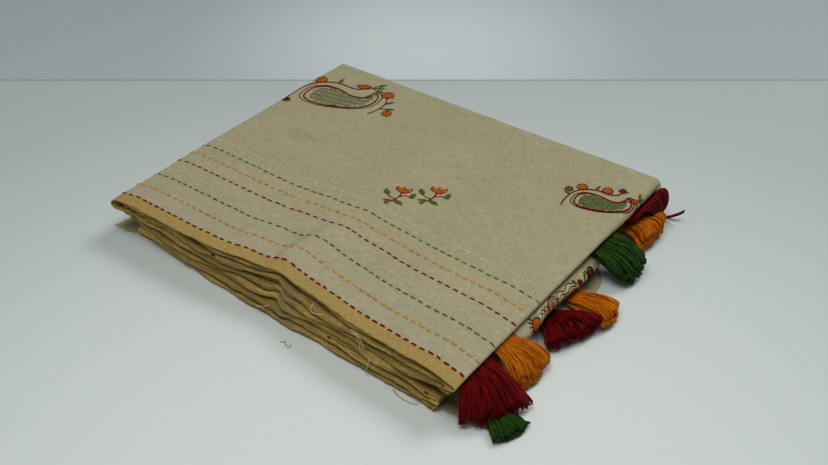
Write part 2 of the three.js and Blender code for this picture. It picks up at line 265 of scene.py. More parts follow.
def shell(outer, thickness, weave):
    """The body of a closed sheet whose outer face is the grid of points."""
    rows, columns = outer.shape[:2]
    inner = outer - grid_normals(outer) * thickness
    count = rows * columns
    points = np.concatenate([outer.reshape(-1, 3), inner.reshape(-1, 3)])
    front = grid_faces(rows, columns)
    back = grid_faces(rows, columns, count)[:, ::-1]
    ids = np.arange(count).reshape(rows, columns)
    rim = np.concatenate([ids[0], ids[1:, -1], ids[-1, -2::-1], ids[-2:0:-1, 0]])
    after = np.roll(rim, -1)
    side = np.stack([rim, rim + count, after + count, after], -1)
    faces = np.concatenate([front, back, side]).tolist()
    both = np.concatenate([weave.reshape(-1, 3), weave.reshape(-1, 3)])
    return points, facing_out(points, faces), both


def cut_size(grid):
    """Width and length in metres of the cloth that a grid of points is made of, laid flat."""
    down = np.linalg.norm(np.diff(grid, axis=0), axis=-1).sum(0).mean() * MM
    across = np.linalg.norm(np.diff(grid, axis=1), axis=-1).sum(1).mean() * MM
    return tuple(sorted((float(down), float(across))))


def run_lengths(paths):
    """How far each point lies along its own path."""
    steps = np.linalg.norm(np.diff(paths, axis=1), axis=-1)
    return np.concatenate([np.zeros((len(paths), 1)), np.cumsum(steps, 1)], 1)


def tubes(paths, radii, sides, up=None, flatten=1.0):
    """The body of closed tubes along paths (tube, point, xyz) with radii (tube, point). up says which
    way is up from the surface that they lie on, and flatten how flat they lie. The weave vector is how
    far along the tube, the tube's own number, and the turn round it."""
    paths = np.asarray(paths, float)
    count, length = paths.shape[:2]
    along = unit(np.gradient(paths, axis=1))
    if up is None:
        first = np.cross(along[:, 0], [0.0, 0.0, 1.0])
        first = np.where(np.linalg.norm(first, axis=-1, keepdims=True) < 0.05, [1.0, 0.0, 0.0], first)
        side = [unit(first)]
        for k in range(1, length):
            turned = side[-1] - along[:, k] * np.sum(side[-1] * along[:, k], -1, keepdims=True)
            side.append(unit(turned))
        side = np.stack(side, 1)
    else:
        side = unit(np.cross(along, np.broadcast_to(up, paths.shape)))
    rise = np.cross(side, along)
    turn = np.arange(sides) * TURN / sides
    around = side[:, :, None] * np.cos(turn)[:, None]
    around = around + rise[:, :, None] * (np.sin(turn) * flatten)[:, None]
    points = paths[:, :, None] + around * np.asarray(radii)[:, :, None, None]
    one = grid_faces(length, sides, close=True)
    faces = (np.arange(count)[:, None, None] * length * sides + one).reshape(-1, 4).tolist()
    for base in range(0, count * length * sides, length * sides):
        faces.append([base + i for i in range(sides)][::-1])
        faces.append([base + (length - 1) * sides + i for i in range(sides)])
    weave = np.zeros(points.shape)
    weave[..., 0] = run_lengths(paths)[:, :, None]
    weave[..., 1] = np.arange(count)[:, None, None] * 0.618 % 1
    weave[..., 2] = (np.arange(sides) / sides)[None, None]
    return points.reshape(-1, 3), faces, weave.reshape(-1, 3)


def join(bodies):
    """One body from several."""
    points, faces, weave, start = [], [], [], 0
    for p, f, w in bodies:
        points.append(p)
        weave.append(w)
        faces += [[i + start for i in face] for face in f]
        start += len(p)
    return np.concatenate(points), faces, np.concatenate(weave)


# Materials
def linear(r, g, b):
    """A colour from 0-255 display values."""
    values = [c / 255 for c in (r, g, b)]
    return tuple(c / 12.92 if c <= 0.04045 else ((c + 0.055) / 1.055) ** 2.4 for c in values) + (1.0,)


class Nodes:
    """Short names for making one material's nodes."""

    def __init__(self, name):
        self.material = bpy.data.materials.new(name)
        self.material.use_nodes = True
        self.tree = self.material.node_tree
        self.shader = self.tree.nodes["Principled BSDF"]

    def add(self, kind, inputs=None, **settings):
        node = self.tree.nodes.new(kind)
        for key, value in settings.items():
            setattr(node, key, value)
        for key, value in (inputs or {}).items():
            self.put(node.inputs[key], value)
        return node

    def put(self, socket, value):
        if isinstance(value, bpy.types.NodeSocket):
            self.tree.links.new(value, socket)
        else:
            socket.default_value = value

    def math(self, operation, a, b=0.0):
        return self.add("ShaderNodeMath", {0: a, 1: b}, operation=operation).outputs[0]

    def times(self, a, b):
        return self.math("MULTIPLY", a, b)

    def plus(self, a, b):
        return self.math("ADD", a, b)

    def vector(self, x, y, z=0.0):
        return self.add("ShaderNodeCombineXYZ", {0: x, 1: y, 2: z}).outputs[0]

    def noise(self, vector, scale, detail=2.0, roughness=0.5):
        inputs = {"Vector": vector, "Scale": scale, "Detail": detail, "Roughness": roughness}
        return self.add("ShaderNodeTexNoise", inputs).outputs["Fac"]

    def stretched(self, u, v, along, across, third=0.0, detail=2.0, roughness=0.5):
        """Noise over (u, v) with a scale of its own each way; third picks which one."""
        place = self.vector(self.times(u, along), self.times(v, across), third)
        return self.noise(place, 1.0, detail, roughness)

    def span(self, value, a, b, low=0.0, high=1.0, smooth=True):
        kind = "SMOOTHSTEP" if smooth else "LINEAR"
        inputs = {0: value, 1: a, 2: b, 3: low, 4: high}
        return self.add("ShaderNodeMapRange", inputs, interpolation_type=kind).outputs[0]

    def mix(self, factor, a, b, blend="MIX"):
        inputs = {0: factor, 6: a, 7: b}
        node = self.add("ShaderNodeMix", data_type="RGBA", blend_type=blend)
        for key, value in inputs.items():
            self.put(node.inputs[key], value)
        return node.outputs[2]

    def shaded(self, colour, value):
        """The colour times a grey of that value."""
        grey = self.add("ShaderNodeCombineColor", {0: value, 1: value, 2: value}).outputs[0]
        return self.mix(1.0, colour, grey, "MULTIPLY")

    def weave(self):
        at = self.add("ShaderNodeAttribute", attribute_name="weave")
        return self.add("ShaderNodeSeparateXYZ", {0: at.outputs["Vector"]}).outputs[:3]

    def finish(self, colour, roughness, specular, height, strength, depth):
        """Fills the shader in. The bump reads height, and depth is in metres."""
        bumped = self.add("ShaderNodeBump", {"Strength": strength, "Distance": depth, "Height": height})
        inputs = {"Base Color": colour, "Roughness": roughness, "Specular IOR Level": specular}
        for key, value in {**inputs, "Normal": bumped.outputs[0]}.items():
            self.put(self.shader.inputs[key], value)
        return self.material


# Colours of the cloth, and of what lies on it
GROUND = linear(165, 157, 120)
GROUND_PALE = linear(188, 180, 145)
GROUND_GREY = linear(163, 156, 130)
SLUB_PALE = linear(206, 200, 168)
GOLD = linear(184, 158, 94)
GOLD_DEEP = linear(158, 128, 62)
# Painted light and shade tint: the strips are the same gold selvedge as the top's band, but their gold is
# brighter and yellower, standing in for how the shaded front face is lit
STRIP_GOLD_PAINTED_LIGHT = linear(198, 168, 92)
STRIP_GOLD_DEEP_PAINTED_LIGHT = linear(152, 122, 54)
STRIP_STAIN = linear(120, 84, 44)
# Painted shade: the greyer, darker gold of the leaves in the hollow at the pinch
PINCH_PAINTED_SHADE = linear(126, 114, 84)
SMUDGE = linear(128, 92, 62)
# Places in the weave's own millimetres
PINCH_AT = 12.0
PINCH_REACH = 13.0
SMUDGE_AT = (53.0, 161.0)
SMUDGE_SCALE = (0.062, 0.12)
THREAD_PITCH = 0.42
GOLD_WIDTH = 10.9
GREY_TO = 48.0  # the ground is greyer from the front selvedge to here
# Noises: scale along the saree, scale across it, which one, detail, roughness
NOISES = {
    "slub along": (0.1, 1.25, 0.0, 3.0), "slub across": (1.25, 0.12, 7.0, 3.0),
    "thick along": (0.16, 2.1, 19.0, 1.0), "thick across": (2.1, 0.16, 23.0, 1.0),
    "blotch": (0.02, 0.03, 3.0, 3.0, 0.6), "wear": (0.32, 0.5, 5.0, 4.0, 0.62),
    "streak": (0.045, 0.9, 41.0, 4.0, 0.6), "leaf tone": (0.014, 0.03, 53.0, 2.0),
    "stain": (0.07, 0.21, 47.0, 3.0, 0.6),
}


def cloth_material(name, gold=(GOLD_DEEP, GOLD), tone=1.0, smudge=False, pinch=False):
    """Handloom cloth: warp and weft at thread scale, painted shade where the threads dip, slubs, faint
    blotches and a gold selvedge; with pinch, also painted light along the front face and painted shade
    near the pinch. The weave vector is (along the saree, across it, how far from the front selvedge)."""
    n = Nodes(name)
    u, v, edge = n.weave()

    def noise(key):
        return n.stretched(u, v, *NOISES[key])

    warp, weft = (n.math("SINE", n.times(way, TURN / THREAD_PITCH)) for way in (u, v))
    threads = n.times(warp, weft)
    slub_across = noise("slub across")
    slub = n.plus(n.times(noise("slub along"), 0.5), n.times(slub_across, 0.5))
    thick_along = n.span(noise("thick along"), 0.6, 0.72)
    thick = n.math("MAXIMUM", thick_along, n.span(noise("thick across"), 0.62, 0.74))
    fleck = n.noise(n.vector(u, v, 11.0), 0.9, 4.0, 0.7)
    pale = n.span(slub, 0.36, 0.66)
    near = n.span(edge, GREY_TO - 9, GREY_TO + 5, 1.0, 0.0)
    ground = n.mix(pale, GROUND, GROUND_PALE)
    ground = n.mix(n.times(near, 0.75), ground, n.mix(pale, GROUND_GREY, GROUND_PALE))
    ground = n.mix(n.times(thick, 0.38), ground, SLUB_PALE)
    if gold:
        ragged = n.plus(edge, n.times(n.math("SUBTRACT", slub_across, 0.5), 1.6))
        band = n.span(ragged, GOLD_WIDTH - 0.9, GOLD_WIDTH + 0.7, 1.0, 0.0)
        ground = n.mix(band, ground, n.mix(n.span(noise("wear"), 0.25, 0.75, 0.25, 1.0), *gold))
    if pinch:
        # Painted light: the front face's leaves are brightest at the left end, darkest just left of the
        # middle and a little brighter again to the right, following how the light falls across the front
        # face
        left, right = n.span(u, -110.0, -40.0, 1.38, 1.0), n.span(u, -30.0, 110.0, 0.8, 0.94)
        ground = n.shaded(ground, n.times(left, right))
        ground = n.shaded(ground, n.span(noise("streak"), 0.36, 0.64, 0.62, 1.3, False))
        ground = n.shaded(ground, n.span(noise("leaf tone"), 0.36, 0.64, 0.78, 1.24, False))
        ground = n.mix(n.span(noise("stain"), 0.54, 0.7, 0.0, 0.34), ground, STRIP_STAIN)
        # Painted shade: the gold turns greyer and darker near the pinch, where the leaves lie in the
        # hollow under the top cloth's ridge
        away = n.math("ABSOLUTE", n.math("SUBTRACT", u, PINCH_AT))
        ground = n.mix(n.span(away, 4.0, PINCH_REACH, 0.42, 0.0), ground, PINCH_PAINTED_SHADE)
    if smudge:
        du, dv = (n.times(n.math("SUBTRACT", way, at), scale)
                  for way, at, scale in zip((u, v), SMUDGE_AT, SMUDGE_SCALE))
        away = n.plus(n.times(du, du), n.times(dv, dv))
        grain = n.noise(n.vector(u, v, 31.0), 0.34, 3.0, 0.6)
        patch = n.times(n.span(away, 0.15, 1.5, 1.0, 0.0), n.span(grain, 0.42, 0.66))
        ground = n.mix(n.times(patch, 0.3), ground, SMUDGE)
    shade = n.span(noise("blotch"), 0.25, 0.78, 0.93 * tone, 1.05 * tone, False)
    shade = n.times(shade, n.span(fleck, 0.25, 0.75, 0.86, 1.12, False))
    # Painted shade: the cloth is darker where the threads dip, following the same pattern as the bump
    shade = n.times(shade, n.span(threads, -1.0, 1.0, 0.93, 1.04, False))
    n.shader.inputs["Sheen Weight"].default_value = 0.04
    n.shader.inputs["Sheen Roughness"].default_value = 0.5
    height = n.plus(n.times(threads, 0.35), n.times(slub, 1.6))
    height = n.plus(height, n.times(thick, 0.5))
    roughness = n.span(slub, 0.3, 0.7, 0.92, 0.78, False)
    return n.finish(n.shaded(ground, shade), roughness, 0.25, height, 0.55, 0.00012)


YARN_TWIST = 1.1


def yarn_material(name, deep, mid, bright, gloss):
    """Twisted yarn: each strand has its own tone, and its plies run round it with painted shade in the
    grooves between them. The weave vector is (along the strand, the strand's own number, the turn round
    it)."""
    n = Nodes(name)
    far, own, turn = n.weave()
    tone = n.stretched(own, far, 37.0, 0.09)
    ply = n.math("SINE", n.plus(n.times(far, TURN / YARN_TWIST), n.times(turn, 2 * TURN)))
    fuzz = n.stretched(far, own, 1.4, 91.0, turn, 3.0)
    colour = n.mix(n.span(tone, 0.3, 0.52), linear(*deep), linear(*mid))
    colour = n.mix(n.span(tone, 0.5, 0.78), colour, linear(*bright))
    # Painted shade: each strand is darker in the grooves between its plies, the same pattern as the bump;
    # fuzz adds random tone
    shade = n.times(n.span(ply, -1.0, 1.0, 0.78, 1.1, False), n.span(fuzz, 0.3, 0.7, 0.85, 1.1, False))
    roughness = n.span(fuzz, 0.3, 0.7, gloss - 0.1, gloss + 0.15, False)
    return n.finish(n.shaded(colour, shade), roughness, 0.1, n.plus(ply, n.times(fuzz, 0.6)), 0.6, 0.0002)


BOARD_CLOUD = 1.2
BOARD_GRAIN = 260


def board_material(name, centre, reach, bright, dim):
    """The studio's painted board: nearly plain, with a painted pool of light that is paler where the
    light was pointed, and faintly uneven. centre and reach are in metres."""
    n = Nodes(name)
    place = n.add("ShaderNodeNewGeometry").outputs["Position"]
    off = n.add("ShaderNodeVectorMath", {0: place, 1: centre}, operation="SUBTRACT").outputs[0]
    far = n.add("ShaderNodeVectorMath", {0: off}, operation="LENGTH").outputs["Value"]
    cloud = n.noise(place, BOARD_CLOUD, 3.0, 0.55)
    # Painted light: the board is paler towards the centre, a pool of light painted on it
    painted_light_pool = n.span(n.plus(far, n.times(cloud, 0.08)), *reach)
    roughness = n.span(cloud, 0.3, 0.7, 0.55, 0.65, False)
    grain = n.noise(place, BOARD_CLOUD * BOARD_GRAIN)
    return n.finish(n.mix(painted_light_pool, bright, dim), roughness, 0.25, grain, 0.05, 0.0002)


CLOTH = cloth_material("handloom_cloth", tone=0.95, smudge=True)
CLOTH_GOLD = cloth_material("gold_selvedge", (STRIP_GOLD_DEEP_PAINTED_LIGHT, STRIP_GOLD_PAINTED_LIGHT), 0.98, pinch=True)
CLOTH_PLAIN = cloth_material("plain_cloth", gold=None)
# Yarns and threads: deep, middle and bright tones as display values, and roughness
THREAD_TONES = {
    "crimson_yarn": ((54, 1, 3), (110, 4, 8), (156, 17, 19), 0.6),
    "orange_yarn": ((160, 72, 2), (208, 112, 6), (234, 148, 22), 0.6),
    "green_yarn": ((18, 42, 8), (36, 70, 14), (64, 100, 28), 0.6),
    "cream_yarn": ((190, 180, 140), (222, 212, 172), (238, 230, 196), 0.7),
    "crimson_stitch": ((104, 6, 14), (136, 12, 24), (160, 26, 38), 0.7),
    "orange_stitch": ((196, 132, 40), (216, 156, 64), (230, 176, 92), 0.7),
    "green_stitch": ((64, 82, 20), (90, 110, 34), (114, 134, 52), 0.7),
    "pale_stitch": ((206, 198, 150), (226, 218, 174), (240, 234, 196), 0.7),
    "orange_satin": ((150, 72, 14), (196, 100, 22), (216, 132, 44), 0.7),
    "brown_thread": ((46, 10, 10), (74, 22, 16), (102, 40, 28), 0.7),
}
THREADS = {name: yarn_material(name, *tones) for name, tones in THREAD_TONES.items()}


# Top cloth
BACK_RADIUS = 2.4
GAP_END = FOLDED_WIDTH - 4.0
BOW_FADES = (0.12, 0.72)
BOW_LOSS = 0.92
BASE_ENDS = (-137.4, -143.2)  # y of the front edge's straight line at the left and right ends
ROW_STEPS = [(0, 3, 0.75), (3, 108, 1.5), (108, GAP_END, 2.8)]  # rows of points: from, to, step
LEFT_LEG = 12  # how far the cloth runs back under itself past each fold
RIGHT_LEG = 6
TUCKS = (2.0, 4.5)
PROBE = 0.6  # step for measuring which way the cloth faces
# Rows of running stitch by colour: gap from the front selvedge, dash, pitch, width, share left out
STITCH_ROWS = {
    "crimson": [(11.0, 4.5, 6.9, 1.7, 0.0), (70.5, 4.8, 7.1, 1.45, 0.0)],
    "orange": [(27.5, 4.5, 6.8, 1.9, 0.0), (85.5, 4.5, 7.0, 1.75, 0.0)],
    "green": [(45.5, 4.6, 6.9, 1.45, 0.0), (99.5, 4.6, 7.0, 1.35, 0.0)],
    "pale": [(51.5, 5.0, 6.4, 0.5, 0.35), (57.0, 5.4, 6.4, 0.62, 0.1), (63.0, 5.0, 6.4, 0.5, 0.3),
             (112.0, 5.9, 6.5, 0.95, 0.0), (147.0, 5.0, 6.6, 0.42, 0.5)],
}
DRAWN_IN = sorted(row[0] for colour in ("crimson", "orange", "green") for row in STITCH_ROWS[colour])
DASH_PROFILE = np.array([0.55, 0.9, 1, 1, 1, 0.9, 0.55])
DASH_WOBBLE = 0.25
DASHES_FROM = 10.0  # how far round the left fold a row starts
DASHES_PAST = 4.0  # how far round the right fold it ends
UNEVEN = (0.88, 1.12)  # thinnest and thickest thread against the usual one
PUCKER = {"deep": 0.16, "width": 1.5, "pitch": 7}
FREE_EDGE = {"width": 1.2, "y": (0.35, 9, 13), "z": (0.25, 14, 14)}  # height, size and seed each way
LEG_SLOPES = (0.1, 0.04)  # how fast the cloth climbs under itself past the left and right folds


def base_line(x):
    """The straight line that the front edge would follow without its bow."""
    return lerp(*BASE_ENDS, (x - LEFT_END) / FOLDED_LENGTH)


def cloth_y(x, gap):
    """y of the place that lies gap from the front selvedge along the cloth: threads and stitch rows
    follow the front edge's bow, less and less towards the back."""
    share = gap / GAP_END
    base = base_line(x)
    bow = (top_edge(x) - base) * (1 - BOW_LOSS * ease(*BOW_FADES, share))
    return lerp(base, BACK_FOLD - BACK_RADIUS, share) + bow


def right_radius(y):
    return lerp(SHARP_FOLD, SOFT_FOLD, ease(20, 95, y))


def top_section(p, y_of, drop):
    """Points of one section of the top cloth. p is the place along it: below 0 on the fold at the
    left end, then on the flat stretch, and past the flat's end on the fold at the right end."""
    left = LEFT_LOOP - drop / 2
    y_right = y_of(np.array(RIGHT_END))
    right = right_radius(y_right) - drop / 2
    flat = FOLDED_LENGTH - left - right
    x0 = LEFT_END + left

    def height(x):
        return stack_top(x, y_of(x)) + top_relief(x, y_of(x)) - drop

    on_left = p < 0
    on_right = p > flat
    x_flat = x0 + np.clip(p, 0, flat)
    turn_left = np.clip(-p / left, 0, math.pi)
    leg_left = np.maximum(-p - math.pi * left, 0)
    turn_right = np.clip((p - flat) / right, 0, math.pi)
    leg_right = np.maximum(p - flat - math.pi * right, 0)
    top_left, top_right = height(np.array(x0)), height(np.array(x0 + flat))
    x = np.where(on_left, x0 - left * np.sin(turn_left) + leg_left, x_flat)
    x = np.where(on_right, x0 + flat + right * np.sin(turn_right) - leg_right, x)
    y = np.where(on_right, y_right, y_of(x))
    z = height(x_flat)
    z = np.where(on_left, top_left - left + left * np.cos(turn_left) + LEG_SLOPES[0] * leg_left, z)
    z = np.where(on_right, top_right - right + right * np.cos(turn_right) + LEG_SLOPES[1] * leg_right, z)
    return np.stack([x, y, z], -1), flat, left, right


def top_place(p, gap):
    """Points of the top cloth's outer face and the direction away from it."""
    def at(pp, gg):
        return top_section(pp, lambda x: cloth_y(x, gg), 0.0)[0]

    du = at(p + PROBE, gap) - at(p - PROBE, gap)
    dv = at(p, gap + PROBE) - at(p, gap - PROBE)
    return at(p, gap), unit(np.cross(du, dv))


def top_columns(flat, left, right):
    """Places along a section, with short steps on both folds."""
    past_left, past_right = -math.pi * left, flat + math.pi * right
    leg = np.linspace(past_left - LEFT_LEG, past_left, 6)[:-1]
    turn = np.linspace(past_left, 0, 13)[:-1]
    level = np.linspace(0, flat, 142)[:-1]
    last = np.linspace(flat, past_right, 12)[:-1]
    tail = np.linspace(past_right, past_right + RIGHT_LEG, 4)
    return np.concatenate([leg, turn, level, last, tail])


def build_top_cloth():
    rows, weave = [], []

    def add_row(y_of, drop, gap):
        p = top_columns(*top_section(np.zeros(1), y_of, drop)[1:])
        rows.append(top_section(p, y_of, drop)[0])
        weave.append(np.stack([p, np.full_like(p, gap), np.full_like(p, gap)], -1))

    for gap in np.concatenate([np.arange(*steps) for steps in ROW_STEPS] + [[GAP_END]]):
        add_row(lambda x, g=gap: cloth_y(x, g), 0.0, gap)
    for turn in np.radians(np.arange(15, 181, 15)):
        y = BACK_FOLD - BACK_RADIUS + BACK_RADIUS * math.sin(turn)
        drop = BACK_RADIUS * (1 - math.cos(turn))
        add_row(lambda x, yy=y: yy + 0 * x, drop, GAP_END + BACK_RADIUS * turn)
    for tuck in TUCKS:
        y = BACK_FOLD - BACK_RADIUS - tuck
        add_row(lambda x, yy=y: yy + 0 * x, 2 * BACK_RADIUS, GAP_END + math.pi * BACK_RADIUS + tuck)
    outer, weave = np.array(rows), np.array(weave)
    # Stitches draw the cloth in a little between them.
    gap = weave[..., 2]
    for row in DRAWN_IN:
        drawn = PUCKER["deep"] * bump(gap, row, PUCKER["width"])
        outer[..., 2] -= drawn * (0.6 + 0.4 * np.sin(weave[..., 0] * TURN / PUCKER["pitch"]))
    # The free edge is a little ragged.
    first = bump(gap, 0, FREE_EDGE["width"])
    for axis, (height, size, seed) in ((1, FREE_EDGE["y"]), (2, FREE_EDGE["z"])):
        outer[..., axis] += first * height * waver(outer[..., 0], size, seed)
    body = shell(outer, SHOWN_CLOTH, weave)
    return make_piece("top_cloth_shell", body, CLOTH, "cloth", "top_cloth"), cut_size(outer)


def stitch_row(gap, length, pitch, width, skip):
    """Dashes of one running-stitch row, from round the left fold to round the right one."""
    _, flat, _, _ = top_section(np.zeros(1), lambda x: cloth_y(x, gap), 0.0)
    dashes = []
    p = rng.uniform(0, pitch) - DASHES_FROM
    while p + length < flat + DASHES_PAST:
        size, off = length * rng.uniform(0.86, 1.12), rng.normal(0, DASH_WOBBLE / 2)
        tilt = rng.normal(0, DASH_WOBBLE)
        if rng.random() >= skip:
            dashes.append((p, size, off, tilt))
        p += pitch * rng.uniform(0.93, 1.07)
    starts, sizes, offs, tilts = np.array(dashes).T[..., None]
    t = np.linspace(0, 1, len(DASH_PROFILE))[None, :]
    places, ups = top_place(starts + sizes * t, gap + offs + tilts * (t - 0.5))
    lift = 0.12 * width - 0.3 * np.abs(2 * t - 1) ** 4
    radii = np.tile(width / 2 * DASH_PROFILE, (len(places), 1))
    radii = radii * rng.uniform(*UNEVEN, (len(places), 1))
    return tubes(places + ups * lift[..., None], radii, 8, ups, 0.55)


def build_stitches():
    made = []
    for colour, rows in STITCH_ROWS.items():
        body = join([stitch_row(*row) for row in rows])
        slot_name = "cloth" if colour == "pale" else colour + "_thread"
        made.append(make_piece("stitches_" + colour, body, THREADS[colour + "_stitch"], slot_name))
    return made


# Embroidery: threads laid on the cloth, drawn first in millimetres on a flat piece of it
THREAD_KNOTS = 5
THREAD_PROFILE = np.array([0.6, 1, 1, 1, 0.6])


def gap_of(x, y):
    """How far a place on the top cloth lies from the front selvedge."""
    gap = y - base_line(x)
    for _ in range(5):
        gap = gap + y - cloth_y(x, gap)
    return gap


def on_top_cloth(flat_points):
    x, y = flat_points[..., 0], flat_points[..., 1]
    return top_place(x - LEFT_END - LEFT_LOOP, gap_of(np.minimum(x, RIGHT_END), y))


def straight(a, b):
    a, b = np.atleast_2d(np.array(a, float)), np.atleast_2d(np.array(b, float))
    return lerp(a[:, None], b[:, None], np.linspace(0, 1, THREAD_KNOTS)[:, None])


def stem(knots, pitch=1.9, slant=0.2):
    """A line of stem stitches along the curve through the knots."""
    line = spline(knots, 30 * (len(knots) - 1))
    far = np.concatenate([[0], np.cumsum(np.linalg.norm(np.diff(line, axis=0), axis=1))])
    ahead = unit(np.gradient(line, axis=0))
    aside = np.stack([-ahead[:, 1], ahead[:, 0]], -1)
    t = np.linspace(0, 1, THREAD_KNOTS)
    starts = np.arange(0, max(far[-1] - 0.6 * pitch, 0.1), pitch)[:, None]
    at = np.minimum(starts + t * pitch * 1.4, far[-1])

    def pick(values):
        return np.stack([np.interp(at, far, values[:, k]) for k in range(2)], -1)

    return pick(line) + pick(aside) * (slant * (2 * t - 1))[:, None]


def circle(centre, radius, count=9):
    turns = np.linspace(0, TURN, count)
    return [(centre[0] + radius * math.cos(a), centre[1] + radius * math.sin(a)) for a in turns]


def ring(centre, radius, pitch=1.7, count=9):
    return stem(circle(centre, radius, count), pitch, 0.1)


def satin(centre, radius, turn=0.4, pitch=0.55):
    """A disc filled with threads side by side."""
    off = np.arange(-radius + 0.2, radius, pitch)[:, None]
    half = np.sqrt(radius**2 - off**2) * rng.uniform(0.94, 1.03, off.shape)
    ahead, aside = np.array([math.cos(turn), math.sin(turn)]), np.array([-math.sin(turn), math.cos(turn)])
    middle = np.array(centre, float) + aside * off
    return straight(middle - ahead * half, middle + ahead * half)


def leaf(base, tip, wide, pitch=0.55):
    """A pointed leaf filled with slanting threads."""
    base, tip = np.array(base, float), np.array(tip, float)
    length = np.hypot(*(tip - base))
    ahead = (tip - base) / length
    aside = np.array([-ahead[1], ahead[0]])
    at = np.arange(0.3, length, pitch)[:, None]
    half = wide / 2 * np.sin(math.pi * (at / length) ** 0.85)
    middle = base + ahead * at
    lean = ahead * half * 0.5
    return straight(middle - aside * half - lean, middle + aside * half + lean)


def fringe(centre, inner, outer, count, start, sweep):
    angle = (start + np.linspace(0, sweep, count))[:, None]
    out = np.concatenate([np.cos(angle), np.sin(angle)], 1)
    return straight(centre + out * inner, centre + out * outer)


def within(points, outline):
    x, y = points[:, 0:1], points[:, 1:2]
    x0, y0 = outline.T
    x1, y1 = np.roll(outline, -1, 0).T
    rise = np.where(np.abs(y1 - y0) < 1e-9, 1e-9, y1 - y0)
    crossed = ((y0 > y) != (y1 > y)) & (x < (x1 - x0) * (y - y0) / rise + x0)
    return crossed.sum(1) % 2 == 1


def herringbone(outline, row, pitch, lean):
    """Rows of slanting stitches inside an outline, each row leaning the other way."""
    (s0, t0), (s1, t1) = outline.min(0), outline.max(0)
    starts, ends = [], []
    for k, t in enumerate(np.arange(t0, t1, row)):
        s = np.arange(s0 - 2, s1 + 2, pitch) + rng.uniform(-0.15, 0.15)
        side = lean if k % 2 else -lean
        starts.append(np.stack([s - side / 2, 0 * s + t], -1))
        ends.append(np.stack([s + side / 2, 0 * s + t + row * 0.94], -1))
    a, b = np.concatenate(starts), np.concatenate(ends)
    keep = within((a + b) / 2, outline)
    a, b = a[keep], b[keep]
    return straight(a + rng.normal(0, 0.1, a.shape), b + rng.normal(0, 0.1, b.shape))


class Needlework:
    """Threads of one motif group by colour, laid on a surface."""

    def __init__(self, place):
        self.place = place
        self.threads = {}
        self.set_frame((0, 0), 0, 1)

    def set_frame(self, origin, angle, size):
        self.origin, self.size = np.array(origin, float), size
        self.turned = np.array([[math.cos(angle), math.sin(angle)], [-math.sin(angle), math.cos(angle)]])

    def put(self, colour, width, *groups):
        for threads in groups:
            laid = (threads * self.size) @ self.turned + self.origin
            self.threads.setdefault(colour, []).append((laid, np.full(len(laid), width)))

    def pieces(self, name):
        made = []
        t = np.linspace(0, 1, THREAD_KNOTS)
        for colour, groups in self.threads.items():
            laid = np.concatenate([g for g, _ in groups])
            width = np.concatenate([w for _, w in groups])[:, None]
            places, ups = self.place(laid)
            lift = (0.02 if colour == "pale" else 0.3) * width - 0.35 * np.abs(2 * t - 1) ** 3
            radii = width / 2 * THREAD_PROFILE * rng.uniform(*UNEVEN, width.shape)
            body = tubes(places + ups * lift[..., None], radii, 6, ups, 0.65)
            thread, slot_name = THREAD_COLOURS[colour]
            made.append(make_piece(f"{name}_{colour}", body, THREADS[thread], slot_name))
        return made


THREAD_COLOURS = {
    "crimson": ("crimson_stitch", "crimson_thread"),
    "orange": ("orange_satin", "orange_thread"),
    "green": ("green_stitch", "green_thread"),
    "brown": ("brown_thread", "crimson_thread"),
    "pale": ("pale_stitch", "cloth"),
}
PAISLEY = [
    (-33, 10), (-30, 21), (-20, 27.5), (-7, 26.5), (6, 21.5), (16, 21), (23, 26), (25, 34), (30.5, 29),
    (31.5, 18), (25, 7), (12, 0.5), (-6, -3), (-22, -2), (-31, 3), (-33, 10),
]


def paisley_spray(work, blossoms, leaves):
    """A paisley filled with green herringbone, with a blossoming vine over it."""
    outline = spline(PAISLEY)
    middle = outline.mean(0)
    work.put("green", 0.85, herringbone(middle + (outline - middle) * 0.86, 3.1, 1.75, 1.6))
    work.put("crimson", 1.5, stem(PAISLEY, 2.2))
    work.put("brown", 0.9, stem((middle + (outline[::8] - middle) * 1.11).tolist(), 2.4, 0.1))
    vine = [(-45, -6), (-43.5, 8), (-38.5, 22), (-28, 33), (-13, 37), (3, 33.5), (13, 36), (17, 43)]
    work.put("crimson", 1.3, stem(vine, 2.2))
    twigs = [(34.5, -2), (40, 9), (42, 20), (38, 31)], [(40.5, 10), (46, 12), (49, 9)]
    work.put("crimson", 1.1, *map(stem, twigs))
    for (s, t), radius, colour in blossoms:
        work.put(colour, 0.62, satin((s, t), radius))
        work.put("crimson", 0.95, ring((s, t), radius + 0.4, 1.6))
        work.put("brown", 0.85, fringe(np.array([s, t]), radius + 0.6, radius + 2.6, 4, 3.6, 2.2))
    for base, tip, wide in leaves:
        work.put("green", 0.62, leaf(base, tip, wide))
        work.put("brown", 0.7, stem([base, tip], 2.4, 0.1))


def leafy_bud(work, base, turn, size):
    """A fat orange bud with three green leaves fanned out behind it."""
    def at(ahead, aside):
        c, d = math.cos(turn), math.sin(turn)
        return (base[0] + size * (ahead * c - aside * d), base[1] + size * (ahead * d + aside * c))

    work.put("orange", 0.7, leaf(at(0, 0), at(-15, 1.5), 8.5 * size))
    for side, end in ((4.6, 1.8), (-3.6, 1.4)):
        work.put("brown", 0.85, stem([at(0, 0), at(-7, side), at(-15.5, end)]))
    for aside in (-5.0, 1.0, 7.0):
        work.put("crimson", 0.9, stem([at(0, 0), at(4.5, aside * 0.6)]))
        work.put("green", 0.7, leaf(at(4, aside * 0.6), at(12, aside * 1.25), 4.8 * size))


